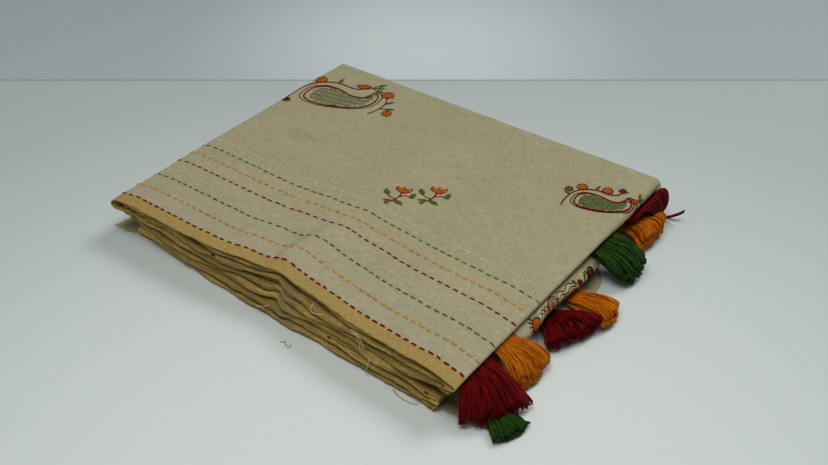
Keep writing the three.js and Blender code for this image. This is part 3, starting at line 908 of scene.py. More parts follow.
def tulip_sprig(work):
    """A small upright sprig: a bent stem, an orange tulip, green buds and leaves."""
    work.put("crimson", 1.15, stem([(-7, -11), (-2, -6), (0.5, 0), (1, 6)]))
    for twig in ([(-1.5, -5), (-7, -3), (-10.5, 1)], [(0.4, -1), (6, 1.5), (9.5, 0)]):
        work.put("crimson", 0.95, stem(twig))
    work.put("orange", 0.75, *(leaf((1, 4), tip, 5.4) for tip in ((-4.6, 13), (1.5, 14.5), (7.2, 12.5))))
    for edge in ([(1, 4), (-5, 8.2), (-4.8, 13.6)], [(1, 4), (7.4, 7.6), (7.6, 13)]):
        work.put("crimson", 0.85, stem(edge, 1.7, 0.1))
    work.put("green", 0.75, leaf((-10, -1), (-13, 7.5), 5.8), leaf((9, -1), (12.6, 6.8), 5.6))
    work.put("green", 0.75, leaf((-2.4, -6), (6.2, -12), 5.2), leaf((-4, -8), (-12, -8), 3.8))
    work.put("brown", 0.85, fringe(np.array([-7.0, -11.0]), 0.3, 3.2, 3, 3.4, 1.6))


# The two sprays: origin, angle and size; blossoms as place, radius and colour; leaves as base, tip and
# width; the bud's base, turn and size
SPRAYS = [
    ((-120, 76), 0.22, 1.0,
     [((-43, -7), 2.6, "crimson"), ((-31, 37), 5.0, "orange"), ((38, 35), 4.8, "orange"),
      ((50, 6), 3.6, "orange")],
     [((-40, 18), (-47, 24), 4.4), ((-14, 37), (-12, 46), 4.4), ((41, 20), (48.5, 26), 4.8),
      ((46, 12), (54, 14), 4.6)],
     ((19, 41), 0.2, 1.0)),
    ((147, 76), 0.27, 0.66,
     [((-30, 38), 5.8, "orange"), ((-44, 29), 4.2, "green"), ((0, 41), 5.8, "orange"),
      ((17, 47), 3.6, "crimson")],
     [((-40, 18), (-48, 23), 5.0), ((-14, 37), (-10, 48), 5.0), ((16, 42), (24, 47), 4.6)],
     ((38, 36), 0.9, 0.9)),
]
SPRIGS = [((13, -1), 0.35, 0.95), ((35, 15), 0.35, 0.95)]


def build_top_embroidery():
    work = Needlework(on_top_cloth)
    for *place, blossoms, leaves, bud in SPRAYS:
        work.set_frame(*place)
        paisley_spray(work, blossoms, leaves)
        leafy_bud(work, *bud)
    for place in SPRIGS:
        work.set_frame(*place)
        tulip_sprig(work)
    return work.pieces("embroidery")


# Selvedge strips along the front

# Name, x where it starts and ends, and how far and from where its edge sways
SELVEDGES = [
    ("selvedge_1", -157, 160, 0.9, 0.4),
    ("selvedge_2", -147, 160, 1.1, 1.9),
    ("selvedge_3", -169, 159, 1.2, 3.1),
    ("selvedge_4", -167, 150, 1.1, 4.6),
    ("selvedge_5", -161, 149, 0.9, 5.5),
    ("selvedge_6", -152, 147, 0.25, 0.9),
]
STRIP_BASE = 1.5
END_FOLD = 1.9  # radius of the fold at each end of a strip
INNER_FOLD = 0.7
LEFT_RISE = [0.0, 1.5, 3.4, 5.2, 5.6, 5.4]  # how far each strip climbs towards the left loop
RISE_OVER = [34, 34, 34, 34, 62, 62]
RIGHT_SHIFT = [0.3, 3.0, 5.2, -4.6, -2.0, 0.4]  # how the strips part in two groups at the right
PARTING = (112, 146)
STRIP_INSET = [2.4, 1.2, 0.5, 0.1, -0.4, -0.8]
STRIP_WANDER = [1.3, 1.6, 1.6, 1.4, 0.8, 0.4]
PINCH_NOTCH = [(3.5, -1, 7)]  # how far the leaves draw back at the pinch
PINCH_CRINKLE = [(0.55, 9, 13)]
LEAF_DEPTH = (5.8, 2.4)  # how deep a leaf rolls over, and the least
LEAF_ROLL = 3.4  # half the depth of the roll, front to back
ROLL_END = 158  # degrees
SLIT_COLUMN = 8  # the place on a leaf's section where the inside stitches lie
END_POINTS = 12  # points at each end of a leaf that its folds take up
LEAF_LEG = 5  # how far a leaf runs back under itself past its folds
INNER_SHORT = 8.0
INNER_THICK = 0.5


def strip_height(place, x):
    """Height of a selvedge strip at the place where its edge starts to roll over."""
    if place >= LEVELS:
        return 0 * x + STRIP_BASE - 0.9
    _, start, _, _, phase = SELVEDGES[place]
    level = (LEVELS - place - 0.35) / LEVELS
    z = level * stack_top(x, -128.0) + 0.7 * np.sin(x / 23 + phase) * 0.6
    if place < LEVELS - 1:
        z = z + (1.35 * waver(x, 120, 140 + place) + 0.16 * waver(x, 30, 160 + place))
    z = z + LEFT_RISE[place] * (1 - ease(start - 4, start + RISE_OVER[place], x))
    z = z + RIGHT_SHIFT[place] * ease(*PARTING, x)
    return np.maximum(z, STRIP_BASE + 1.6)


def strip_surface(place, lift=0.0, inset=0.0, shorten=0.0, stations=180, seed=0):
    """Outer face of one selvedge leaf: flat as it comes out of the stack, rolled over at its front
    edge, and folded under at both ends. lift is how far an inner leaf lies below the strip that it
    belongs to, inset how far its edge stays behind, and shorten what its ends lack."""
    _, start, end, sway, phase = SELVEDGES[place]
    start, end = start + shorten, end - shorten
    r = INNER_FOLD if lift else END_FOLD
    turn = np.linspace(math.pi, 0, 9)[:-1]
    thin = 0.5 * r
    left = [(start + thin + LEAF_LEG, 2 * thin)]
    left += [(start + thin - thin * math.sin(a), thin - thin * math.cos(a)) for a in turn]
    right = [(end - r + r * math.sin(a), r - r * math.cos(a)) for a in turn][::-1]
    right += [(end - r - LEAF_LEG, 2 * r)]
    level = [(x, 0.0) for x in np.linspace(start + thin, end - r, stations)]
    x, under = np.array(left + level + right).T[..., None]
    edge = lerp(top_edge(x), low_edge(x), (place + 1) / LEVELS)
    pinch = humps(x, PINCH_NOTCH) * window(place, 0, 2, 3, 5)
    edge = edge + sway * np.sin(x / 17 + phase) + 0.6 * np.sin(x / 7 + 2 * phase) + pinch + inset
    edge = edge + 0.16 * waver(x, 11, 20 + seed) + STRIP_WANDER[place] * waver(x, 95, 30 + seed)
    edge = edge + STRIP_INSET[place]
    z0 = strip_height(place, x)
    room = z0 - strip_height(place + 1, x) - 0.75
    deep = np.clip(LEAF_DEPTH[0] + 1.2 * waver(x, 55, 90 + seed), LEAF_DEPTH[1], np.maximum(room, 0.9))
    deep = deep * (1 - 0.55 * (1 - ease(start, start + 10, x)))
    if place == 2:
        deep = deep + 1.4 * ease(112, 140, x)
    if place < 3:
        deep = deep * (1 - 0.6 * ease(143, 158, x))
    if lift:
        deep = 1.0 + 0 * x
    deep = deep * (1 - 0.55 * np.minimum(under / (2 * r), 1))
    wide = LEAF_ROLL + 1.2 * waver(x, 48, 95 + seed)
    flat_y = lerp(STRIP_ROOT, edge + wide, np.linspace(0, 1, 5)[None, :-1])
    angle = np.radians(np.linspace(0, ROLL_END, 13))[None, :]
    roll_y = edge + wide - wide * np.sin(angle)
    roll_z = -deep / 2 * (1 - np.cos(angle))
    y = np.concatenate([flat_y, roll_y], 1)
    z = z0 - under + np.concatenate([0 * flat_y, roll_z], 1)
    v = np.clip((STRIP_ROOT - y) / np.abs(edge - STRIP_ROOT), 0, 1)
    crinkle = 0.34 * waves(x, 0.25 * y, 24, 40 + seed) + 0.3 * waves(x, 2.2 * z, 9, 60 + seed)
    near_pinch = humps(x, PINCH_CRINKLE) * window(place, -0.5, 1, 4, 5)
    crinkle = crinkle + near_pinch * np.sin(x / 2.2 + 0.5 * y + phase)
    z = np.maximum(z + crinkle * v * 0.7 - lift, STRIP_BASE)
    y = y + crinkle * v * 0.8
    points = np.stack([np.broadcast_to(x, z.shape), y, z], -1)
    far = run_lengths(points)
    across = far[:, -1:] - far
    weave = np.stack([np.broadcast_to(x, z.shape), across + place * 37 + lift * 11, across * 0.6], -1)
    return points, weave


# Leaves between the strips: the strip above, how far below it, how far behind its edge
INNER_LEAVES = [(0, 4.6, 2.0), (1, 4.9, 1.4), (2, 4.7, 2.2), (3, 5.0, 1.5), (4, 4.7, 1.8)]
# Stitches between the strips: the strip, and x where each starts and ends
SLIT_DASHES = [(1, -60.5, -57.5), (3, 138.5, 141.8), (3, 144.0, 147.5), (4, 52.0, 55.0)]


def build_selvedges():
    """The leaves, each with its cut size and the name of the piece that it rests on."""
    made = []
    rests = [name + "_leaf" for name, *_ in SELVEDGES[1:]] + ["bottom_cloth_sheet"]
    for place, (name, *_) in enumerate(SELVEDGES):
        surface, weave = strip_surface(place, seed=place)
        body = shell(surface, SHOWN_CLOTH, weave)
        leaf_piece = make_piece(name + "_leaf", body, CLOTH_GOLD, "gold_edge", name)
        made.append((leaf_piece, cut_size(surface), rests[place]))
    for k, (place, lift, inset) in enumerate(INNER_LEAVES):
        surface, weave = strip_surface(place, lift, inset, INNER_SHORT, 150, seed=10 + k)
        body = shell(surface, INNER_THICK, weave)
        leaf_piece = make_piece(f"selvedge_inner_{k + 1}", body, CLOTH_GOLD, "gold_edge")
        made.append((leaf_piece, cut_size(surface), rests[place]))
    return made


def build_slit_dashes():
    """Crimson stitches that show between the strips."""
    paths = []
    for place, start, end in SLIT_DASHES:
        line = strip_surface(place, seed=place)[0][END_POINTS:-END_POINTS, SLIT_COLUMN]
        t = np.linspace(start, end, len(DASH_PROFILE))
        at = np.stack([np.interp(t, line[:, 0], line[:, k]) for k in range(3)], -1)
        paths.append(at + [0, -0.25, 0.3])
    body = tubes(paths, np.tile(0.75 * DASH_PROFILE, (len(paths), 1)), 8)
    make_piece("stitches_inside", body, THREADS["crimson_stitch"], "crimson_thread")


# Hidden layers: the rounded edges of the folds
FOLDS = 13
FOLD_RINGS = 7
PER_SIDE = 74
PER_CORNER = 6
CORNER = 12.0
CORNER_BULGE = 0.203
LAYERS_FLOOR = 2.1
LAYERS_FRONT = STRIP_ROOT + 0.6
LAYERS_BELOW = 2.3  # how far under the top cloth's surface the layers end
INWARD = np.array([(0, 0), (-1, 0), (0, -1), (1, 0)], float)  # front, right, back, left


def layer_outline(left, right, back):
    """Points round the layers, and for each the way inwards, which is none at the front."""
    front, c = LAYERS_FRONT, CORNER
    corners = np.array([
        (left + c, front), (right - c, front), (right, front + c), (right, back - c),
        (right - c, back), (left + c, back), (left, back - c), (left, front + c),
    ])
    points, inward = [], []
    for k, push in enumerate(INWARD):
        a, b, after = corners[2 * k], corners[2 * k + 1], corners[(2 * k + 2) % 8]
        following = INWARD[(k + 1) % 4]
        f = np.arange(PER_SIDE)[:, None] / PER_SIDE
        points.append(lerp(a, b, f))
        inward.append(np.broadcast_to(push, (PER_SIDE, 2)))
        f = np.arange(PER_CORNER)[:, None] / PER_CORNER
        bulge = CORNER_BULGE * c * np.sin(math.pi * f)
        points.append(lerp(b, after, f) - unit(push + following + 1e-6) * bulge)
        inward.append(lerp(push, following, f))
    return np.concatenate(points), np.concatenate(inward)


def layer_ring(fold, own, across):
    """One ring of points and its weave: across goes from 0 to 1 over the fold's rounded edge."""
    t = (fold + across) / FOLDS
    groove = 1 - math.sqrt(max(1 - (2 * across - 1) ** 2, 0))
    left = LEFT_END + lerp(24, 3.5, ease(0, 0.6, t)) + 15 * ease(0.68, 0.72, t)
    right = RIGHT_END - 15 - 2.5 * math.sin(t * 9)
    back = BACK_FOLD - 1.8 - 2 * math.sin(t * 7 + 1) - 5 * ease(0.84, 0.88, t)
    outline, inward = layer_outline(left, right, back)
    along = np.cumsum(np.hypot(*np.diff(outline, axis=0, append=outline[:1]).T))
    wander = 1.3 * waves(along, 0 * along + fold * 60, 150, 400 + fold)
    wander = wander + 0.5 * waver(along, 34, 450 + fold)
    x, y = (outline + inward * (groove * 2.2 + own + 1.2 + wander)[:, None]).T
    sag = 0.5 * waver(along, 60, 500 + fold) * math.sin(math.pi * t)
    z = lerp(LAYERS_FLOOR, stack_top(x, y) - LAYERS_BELOW, t) + sag
    return np.stack([x, y, z], -1), np.stack([along, z, 0 * along + 90], -1)


def build_hidden_layers():
    rings, weaves = [], []
    for fold in range(FOLDS):
        own = np.random.default_rng(300 + fold).uniform(0.0, 2.6)
        for k in range(FOLD_RINGS):
            points, weave = layer_ring(fold, own, (k + 0.02) / (FOLD_RINGS - 0.96))
            rings.append(points)
            weaves.append(weave)
    last = rings[-1]
    for share in (0.9, 0.6, 0.3):
        q = last * [share, share, 1]
        q[:, 2] = stack_top(q[:, 0], q[:, 1]) - LAYERS_BELOW
        rings.append(q)
        weaves.append(np.stack([q[:, 0], q[:, 1], 0 * q[:, 0] + 90], -1))
    count = len(last)
    faces = grid_faces(len(rings), count, close=True).tolist()
    start, top_middle = (len(rings) - 1) * count, len(rings) * count
    points = np.vstack([*rings, [0, 0, TOP_LEVEL - LAYERS_BELOW], [0, 0, LAYERS_FLOOR]])
    weave = np.vstack([*weaves, [0, 0, 90], [0, 0, 90]])
    for i in range(count):
        j = (i + 1) % count
        faces += [[start + i, start + j, top_middle], [j, i, top_middle + 1]]
    body = points, facing_out(points, faces), weave
    make_piece("hidden_layers_folds", body, CLOTH_PLAIN, "cloth", "hidden_layers")


# Bottom cloth: flat on the table
BOTTOM_BACK = 136
BOTTOM_THICK = 0.66


def build_bottom_cloth():
    across = np.concatenate([
        np.linspace(0, 0.14, 28)[:-1], np.linspace(0.14, 0.86, 40)[:-1], np.linspace(0.86, 1, 44),
    ])
    rows = np.linspace(0, 1, 70) ** 1.2
    outer = np.zeros((len(rows), len(across), 3))
    weave = np.zeros_like(outer)
    for r, v in enumerate(rows):
        tongue = 17.0 * window(lerp(-122, BOTTOM_BACK, v), 23, 33, 42, 70)
        left, right = lerp(-179, -162, v ** 0.7), lerp(179, 156, min(1, v * 5)) + tongue
        front = -120 - 8.5 * (1 - ease(0.03, 0.1, across)) - 15.5 * ease(0.872, 0.892, across)
        x, y = lerp(left, right, across), lerp(front, BOTTOM_BACK, v)
        raise_left = (1 - ease(-176, -150, x)) * (1 - ease(-128, -60, y))
        raise_right = ease(160, 182, x) * (1 - ease(-130, -80, y))
        z = 0.78 + 0.5 * raise_left * (0.6 + 0.4 * np.sin(y / 9))
        z = z + 0.45 * raise_right * (0.5 + 0.5 * np.sin(y / 6 + x / 9))
        edge_x = 0.5 * waver(y, 18, 71)
        outer[r] = np.stack([x + edge_x * (np.abs(across - 0.5) > 0.4), y, z], -1)
        weave[r] = np.stack([x, y + 138, 0 * x + 60], -1)
    body = shell(outer, BOTTOM_THICK, weave)
    return make_piece("bottom_cloth_sheet", body, CLOTH_PLAIN, "cloth", "bottom_cloth"), cut_size(outer)


# Pallu fold: the rounded fold under the right edge
PALLU = {"from": -72.0, "to": 53.0, "half": 7.5, "leg_end": RIGHT_END - 11.5}


def pallu_shape(y):
    s = (y - PALLU["from"]) / (PALLU["to"] - PALLU["from"])
    nose = RIGHT_END + 1.2 + 2.6 * bump(y, -64, 24) + 0.6 * bump(y, 10, 20)
    middle = lerp(21, 16.5, ease(0.2, 0.9, s)) + 0.4 * np.sin(y / 6)
    return nose, middle


def pallu_place(y, turn, proud=0.0):
    """A point on the pallu's rounded fold; turn is 90 degrees on top and -90 below."""
    nose, middle = pallu_shape(y)
    half = PALLU["half"]
    uneven = 0.25 * waves(y, turn * 8, 24, 81) + 0.5 * np.sin(turn * 1.7 + y / 14) * np.cos(turn) ** 2
    x = nose - half + (half + uneven + proud) * np.cos(turn)
    z = middle + (half + proud) * np.sin(turn)
    return np.stack(np.broadcast_arrays(x, y, z), -1)


def build_pallu_fold():
    rows = 90
    ys = np.linspace(PALLU["from"], PALLU["to"], rows)[:, None]
    turns = np.radians(np.linspace(90, -90, 25))[None, :]
    arc = pallu_place(ys, turns)
    nose, middle = pallu_shape(ys)
    legs = np.linspace(0, 1, 4)[:-1][None, :]
    half = PALLU["half"]
    start_x = nose - half

    def leg(x, z):
        return np.stack(np.broadcast_arrays(x, ys, z), -1)

    upper = leg(lerp(PALLU["leg_end"], start_x, legs), middle + half - 0.4 * (1 - legs))
    back = legs[:, ::-1]
    lower = leg(lerp(start_x, PALLU["leg_end"], 1 - back), middle - half + 0.4 * (1 - back))
    outer = np.concatenate([upper, arc, lower], 1)
    far = run_lengths(outer)
    weave = np.stack([far, np.broadcast_to(ys, far.shape) + 150, 0 * far + 90], -1)
    body = shell(outer, SHOWN_CLOTH, weave)
    return make_piece("pallu_fold_cloth", body, CLOTH_PLAIN, "cloth", "pallu_fold"), cut_size(outer)


def on_pallu(flat_points):
    y, turn = flat_points[..., 0], flat_points[..., 1] / PALLU["half"]
    return pallu_place(y, turn), np.stack([np.cos(turn), 0 * turn, np.sin(turn)], -1)


def build_pallu_embroidery():
    """A generic row along the pallu's fold: blossoms, crossed lines, waves and a ring."""
    work = Needlework(on_pallu)
    front, middle, red = np.array([-50.0, 1.6]), np.array([-25.0, 1.6]), np.array([11.0, 1.4])
    hoop = (27.5, 1.6)
    for side in np.arange(-4.5, 8.6, 1.15):
        work.put("pale", 1.3, stem([(-44, side), (22, side)], 2.6, 0.15))
    work.put("orange", 0.8, satin(front, 5.0, 1.2), satin(middle, 3.9, 0.2))
    work.put("brown", 1.0, ring(front, 5.3), ring(middle, 4.6))
    work.put("crimson", 1.2, fringe(front, 5.6, 9.4, 7, 2.0, 2.3), ring(middle, 6.4))
    for low in (-42.5, -38.5, -34.5):
        work.put("brown", 0.95, stem([(low, -4.5), (low + 4, 1), (low, 6.5)], 1.9, 0.1))
        work.put("crimson", 1.05, stem([(low + 4, -4.5), (low, 1), (low + 4, 6.5)], 1.9, 0.1))
    for k, off in enumerate((-3.2, 0.0, 3.2, 6.4)):
        wave = [(y, off + 1.1 * math.sin(y / 1.9 + k)) for y in np.arange(-17, 6, 1.5)]
        work.put("crimson" if k % 2 else "brown", 1.05, stem(wave, 1.7, 0.1))
    work.put("crimson", 0.85, satin(red, 4.2, 0.8), fringe(red, 4.2, 6.2, 9, 0, 5.6))
    work.put("green", 0.85, leaf((6, 2), (4, 7.5), 4.8), leaf((16, 1), (22, 6), 5.4))
    work.put("green", 0.85, leaf((16, 0), (22, -4), 5.4), leaf((6, -1), (3, -5.5), 4.6))
    work.put("brown", 1.5, ring(hoop, 3.8, 1.8), ring(hoop, 1.9, 1.4, 7))
    for bar in ([(-17.5, -4), (-18.5, 1), (-17.5, 6.5)], [(22, -4), (23, 1), (22, 6)]):
        work.put("brown", 1.1, stem(bar))
    return work.pieces("pallu_thread")


# Tassels: the fan of each runs from its root to the line from a to b, as the part's source says, and the
# rest is how full, thick and ropy its yarns are
TASSEL_KEYS = (
    "name", "colour", "root", "a", "b", "half", "bow", "hump", "out", "rise", "fall",
    "yarns", "ropes", "pile", "raised", "radius", "straight", "span",
)
TASSELS = [dict(zip(TASSEL_KEYS, row)) for row in (
    ("tassel_crimson_front", "crimson", (160, -117, 30.0), (170, -143, 5), (197, -101, 5),
     17, 7, 4.0, 11, 1, 13, 460, 12, 4.6, 0.6, 0.48, 0.65, (0.0, 1.0)),
    ("tassel_orange_front", "orange", (160, -86, 30.2), (183, -97, 5), (184, -54, 5),
     11, 5, 1.5, 14, 1, 13, 330, 8, 4.4, 0.6, 0.52, 0.6, (0.0, 1.0)),
    ("tassel_green_low", "green", (174, -121, 4.6), (195, -141, 3.4), (205, -115, 3.4),
     6, 3, 0, 8, 0.4, 0.2, 190, 5, 3.2, 1.2, 0.62, 0.3, (0.02, 0.95)),
    ("tassel_crimson_middle", "crimson", (158, -21, 4.1), (178, -51, 5), (198, -3, 5),
     11, 5, 2, 13, 2.0, 7, 420, 11, 5.6, 3.2, 0.48, 0.3, (0.0, 1.0)),
    ("tassel_orange_middle", "orange", (158, 10, 4.1), (200, -7, 5), (198, 17, 5),
     8, 3, 1, 15, 1.5, 6, 250, 4, 4.6, 3.4, 0.58, 0.3, (0.0, 1.0)),
    ("tassel_green_back", "green", (159, 53, 26.6), (187, 42, 5), (189, 75, 5),
     18, 6, 2, 10, 0, 12, 210, 6, 6.4, 4.4, 1.02, 0.75, (0.0, 1.0)),
    ("tassel_orange_back", "orange", (155.9, 106, 14), (180, 90, 5), (176, 136, 5),
     11, 6, 2, 14, 6, 10, 300, 5, 5.8, 3.4, 0.72, 0.3, (0.0, 1.0)),
)]
ROPE_ROWS = 3  # ropes above one another
HEAD_RINGS = 5  # turns of yarn round a head
HEAD_TALL = 1.9
WRAP_RADIUS = 0.5
YARN_POINTS = 16
YARN_SIDES = 5


def bezier(p0, p1, p2, p3, t):
    return p0 * (1 - t) ** 3 + 3 * p1 * (1 - t) ** 2 * t + 3 * p2 * (1 - t) * t**2 + p3 * t**3


def rope_places(r, count, ropes):
    """Where each yarn lies in its tassel, for places from its root to its tip: across the fan, from 0
    to 1, and up through its thickness, from -1 to 1. Yarns twist round each other in ropes."""
    total = ropes * ROPE_ROWS
    own = r.integers(0, total, count)
    jitter_s, jitter_l = r.uniform(-0.34, 0.34, total) / ropes, r.uniform(-0.34, 0.34, total)
    centre_s = ((own % ropes + 0.5) / ropes + jitter_s[own])[:, None]
    centre_l = ((own // ropes - 1) * 0.74 + jitter_l[own])[:, None]
    far, spin = np.sqrt(r.uniform(0, 1, (count, 1))), r.uniform(0.2, 1.1, total)[own][:, None]
    t = np.linspace(0, 1, YARN_POINTS)[None, :]
    turn = r.uniform(0, TURN, (count, 1)) + spin * math.pi * t
    s = centre_s + far * np.cos(turn) * 0.66 / ropes
    up = centre_l + far * np.sin(turn) * 0.36
    return t, s, up, r.uniform(0.9, 1.03, total)[own][:, None]


def tassel_piece(name, colour, groups, centre, half):
    """One piece from groups of yarns, each its paths and radii, and the wrapping round its head."""
    angle = np.linspace(0, TURN, 25)
    y, z = centre[1] + half * np.cos(angle), np.maximum(centre[2] + HEAD_TALL * np.sin(angle), 0.6)
    places = centre[0] - 1.6 + 0.95 * np.arange(HEAD_RINGS)
    rings = np.array([np.stack([0 * angle + x, y, z], -1) for x in places])
    groups = groups + [(rings, np.full(rings.shape[:2], WRAP_RADIUS))]
    body = join([tubes(paths, radii, YARN_SIDES) for paths, radii in groups])
    make_piece(name + "_yarn", body, THREADS[colour + "_yarn"], colour + "_thread", name)


def build_tassel(spec):
    r = np.random.default_rng(sum(map(ord, spec["name"])))
    a, b, root = (np.array(spec[key], float) for key in ("a", "b", "root"))
    outwards = unit(np.array([b[1] - a[1], a[0] - b[0], 0.0]))
    count = spec["yarns"]
    t, s_tip, up, reach = rope_places(r, count, spec["ropes"])
    s = lerp(lerp(r.uniform(0, 1, (count, 1)), s_tip, 0.82), s_tip, ease(0, 0.6, t))
    on_line = lerp(*spec["span"], s)
    middle = np.clip(4 * s * (1 - s), 0, 1)
    tip = lerp(a, b, on_line[..., None]) + outwards * (spec["bow"] * middle)[..., None]
    tip[..., 2] += spec["hump"] * middle + spec["raised"]
    start = np.broadcast_to(root, tip.shape).copy()
    start[..., 1] += lerp(-0.92, 0.92, s) * spec["half"]
    lean = (tip[..., 1] - start[..., 1]) * 0.2
    p1 = start + np.stack([0 * lean + spec["out"], lean, 0 * lean + spec["rise"]], -1)
    p2 = tip + np.stack([0 * lean - 2, -lean, 0 * lean + spec["fall"]], -1)
    p1 = lerp(p1, lerp(start, tip, 0.36) + [0, 0, 2.5], spec["straight"])
    p2 = lerp(p2, lerp(start, tip, 0.7) + [0, 0, 2.0], spec["straight"])
    far = (t * reach * r.uniform(0.965, 1.01, (count, 1)))[..., None]
    paths = bezier(start, p1, p2, tip, far)
    dome = 0.4 + 0.6 * np.sqrt(middle)
    paths[..., 2] += lerp(up * 1.3, up * dome * spec["pile"], ease(0, 0.75, t))
    stray = r.normal(0, 0.16, (count, 1, 3)) * np.sin(t * r.uniform(4, 9, (count, 1)) + 3)[..., None]
    paths += stray * ease(0.1, 0.9, t)[..., None]
    radii = spec["radius"] * r.uniform(*UNEVEN, (count, 1)) * lerp(0.86, 1.06, t)
    paths[..., 2] = np.maximum(paths[..., 2], radii + 0.05)
    tassel_piece(spec["name"], spec["colour"], [(paths, radii)], root, min(spec["half"], 11) + 0.7)


# The crimson tassel at the back curls over on itself, and one lock of it points out.
CURL = [
    (151, 124, 24.0), (160, 125, 23.4), (167, 126, 26.4), (170.5, 127, 31.5), (173, 127.5, 29.5),
    (173.5, 128, 20), (169, 128, 10), (160, 126, 3.4),
]
LOCK = [(158, 134, 3.5), (167, 140.5, 2.4), (176, 144.5, 3.6), (182, 145, 8), (188, 145.5, 14)]


CURL_STEPS = 200
CURL_YARNS = 340
LOCK_YARNS = 14
CURL_HEAD = (153, 125, 24.0)


def build_curled_tassel():
    r = np.random.default_rng(77)
    t, s, up, reach = rope_places(r, CURL_YARNS, 6)
    track = spline(CURL, CURL_STEPS)
    at = np.clip(t * reach * r.uniform(0.95, 1.0, (CURL_YARNS, 1)), 0, 1) * CURL_STEPS
    paths = np.stack([np.interp(at, np.arange(CURL_STEPS + 1), track[:, k]) for k in range(3)], -1)
    along = unit(np.gradient(paths, axis=1))
    out = unit(np.cross(along, np.array([0.0, 1.0, 0.0])))
    gathered = ease(0.3, 0.8, t)
    paths[..., 1] += (s - 0.5) * lerp(44, 23, gathered) - 10 * (1 - gathered)
    paths += out * (up * lerp(1.2, 2.3, t))[..., None]
    radii = 0.5 * r.uniform(*UNEVEN, (CURL_YARNS, 1)) * np.ones_like(t)
    paths[..., 2] = np.maximum(paths[..., 2], radii + 0.05)
    angle = np.linspace(0, TURN, LOCK_YARNS + 1)[:-1][:, None]
    twist = angle + np.linspace(0, 5, YARN_POINTS)[None]
    size = 1.15 * (0.6 + 0.4 * np.cos(3 * angle))
    lock = spline(LOCK, YARN_POINTS - 1)[None]
    lock = lock + np.stack([0 * twist, size * np.cos(twist), size * np.sin(twist)], -1)
    lock[..., 2] = np.maximum(lock[..., 2], 0.6)
    groups = [(paths, radii), (lock, np.full(lock.shape[:2], 0.48))]
    tassel_piece("tassel_crimson_back", "crimson", groups, CURL_HEAD, 6.5)


# Loose threads along the front
LOOSE = [
    [(40, -133, 33), (39.5, -136, 31), (42, -137.5, 29), (47, -137.2, 29.6), (51, -136, 31)],
    [(78, -139, 33.5), (83, -140.5, 35), (86, -140, 32), (87.5, -139.5, 27), (89, -140, 23)],
    [(80, -140, 32), (84, -141, 33.6), (85.5, -141, 30), (86.5, -140.6, 25), (86, -140, 21)],
    [(93, -139.5, 16), (93.6, -141, 13), (92.6, -141.5, 9), (91.4, -141, 5), (91.8, -141, 2)],
    [(114, -141, 4.0), (119, -142.6, 1.4), (125, -143.6, 1.0), (131, -143.2, 1.0), (136, -142, 2.6)],
    [(22, -151, 0.6), (25, -149.5, 0.6), (28, -151.5, 0.6), (31, -150, 0.7), (29, -148, 0.6)],
    [(24, -148, 0.6), (27, -150.5, 1.0), (32, -152, 0.6)],
    [(170, 146, 0.7), (175, 147.5, 0.6), (181, 149, 0.6), (184, 151.5, 0.6)],
    [(-14, -137.5, 6.5), (-9, -138.8, 8.5), (-4, -138.6, 11.4), (0, -137, 13.4)],
]


def build_loose_threads():
    paths = [spline(knots, 24)[None] for knots in LOOSE]
    radii = 0.4 * np.linspace(1, 0.7, 25)[None]
    body = join([tubes(path, radii, 6) for path in paths])
    make_piece("loose_threads", body, THREADS["cream_yarn"], "cloth")


# Scene
CAMERA_AT = (417.7, -523.8, 498.5)  # mm, fitted to the photograph
CAMERA_LOOKS = (-0.4785, 0.6408, -0.6003)
SEAM_AWAY = 0.917  # metres from below the camera to the seam between the boards
SEAM_WIDTH = 0.0011
BOARD_REACH = 3.0
# Boards: name, which way from the seam, centre and reach of the painted pool of light in metres, bright
# and dim tones
BOARDS = [
    ("studio_floor", -1, (0.16, -0.22, 0), (0.16, 0.62), linear(222, 229, 226), linear(192, 202, 201)),
    ("studio_back", 1, (-0.19, 0.29, 0), (0.05, 0.33), linear(222, 233, 234), linear(184, 198, 199)),
]
# Lights: name, place and target in metres, size, power in watts, colour
LIGHTS = [
    ("key", (0.70, 1.30, 2.10), (0.05, -0.05, 0), 1.0, 22.0, (1.0, 0.99, 0.965)),
    ("overhead", (0.24, -0.42, 1.18), (0.08, -0.12, 0), 0.6, 7.0, (0.985, 1.0, 0.985)),
    ("fill", (-0.8, -1.0, 1.7), (0, 0, 0), 1.8, 1.4, (0.95, 0.98, 1.0)),
]
AIR = (0.95, 0.98, 1.0, 1)
AIR_STRENGTH = 0.11
LENS = 45.0
SENSOR = 36.0


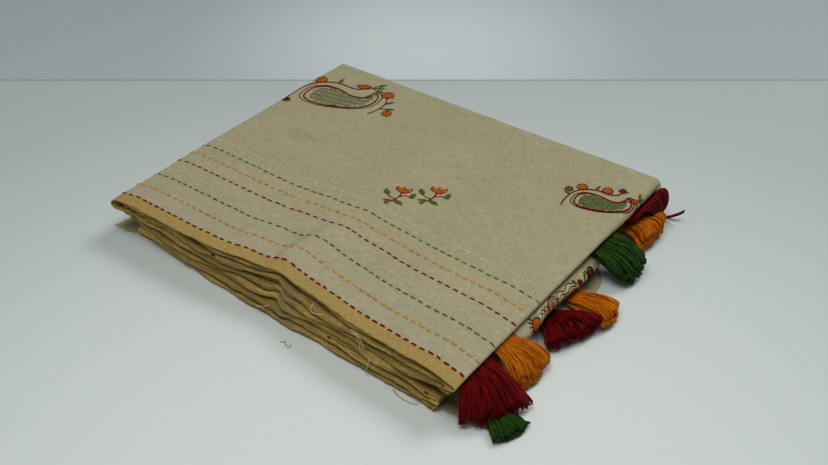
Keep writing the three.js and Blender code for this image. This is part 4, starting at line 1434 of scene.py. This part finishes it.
def build_stage():
    """Two pale boards side by side: the saree lies on one, the other begins behind it."""
    toward = np.array(CAMERA_LOOKS[:2])
    toward = toward / np.linalg.norm(toward)
    side = np.array([-toward[1], toward[0]])
    seam = np.array(CAMERA_AT[:2]) * MM + toward * SEAM_AWAY
    for name, way, centre, reach, bright, dim in BOARDS:
        board = bpy.data.meshes.new(name)
        start = seam + toward * (SEAM_WIDTH if way > 0 else 0)
        corners = [start - side * BOARD_REACH, start + side * BOARD_REACH]
        corners += [c + way * toward * BOARD_REACH for c in corners[::-1]]
        order = (0, 1, 2, 3) if way > 0 else (3, 2, 1, 0)
        board.from_pydata([(*c, 0.0) for c in corners], [], [order])
        board.materials.append(board_material(name + "_paint", centre, reach, bright, dim))
        add_object(name, board)


def build_camera_and_light():
    data = bpy.data.cameras.new("camera")
    data.lens, data.sensor_width = LENS, SENSOR
    camera = add_object("camera", data)
    camera.location = [c * MM for c in CAMERA_AT]
    camera.rotation_euler = Vector(CAMERA_LOOKS).to_track_quat("-Z", "Y").to_euler()
    bpy.context.scene.camera = camera
    for name, place, target, size, power, colour in LIGHTS:
        data = bpy.data.lights.new(name, "AREA")
        data.shape = "RECTANGLE"
        data.size, data.size_y, data.energy, data.color = size, size, power, colour
        light = add_object(name, data)
        light.location = place
        light.rotation_euler = (Vector(target) - Vector(place)).to_track_quat("-Z", "Y").to_euler()
    world = bpy.data.worlds.new("studio_air")
    world.use_nodes = True
    background = world.node_tree.nodes["Background"]
    background.inputs[0].default_value = AIR
    background.inputs[1].default_value = AIR_STRENGTH
    bpy.context.scene.world = world
    bpy.context.scene.view_settings.view_transform = "Standard"


build_camera_and_light()
build_stage()
top, top_cut = build_top_cloth()
stitches = build_stitches() + build_top_embroidery()
strips = build_selvedges()
build_slit_dashes()
build_hidden_layers()
bottom, bottom_cut = build_bottom_cloth()
pallu, pallu_cut = build_pallu_fold()
pallu_threads = build_pallu_embroidery()
for spec in TASSELS:
    build_tassel(spec)
build_curled_tassel()
build_loose_threads()
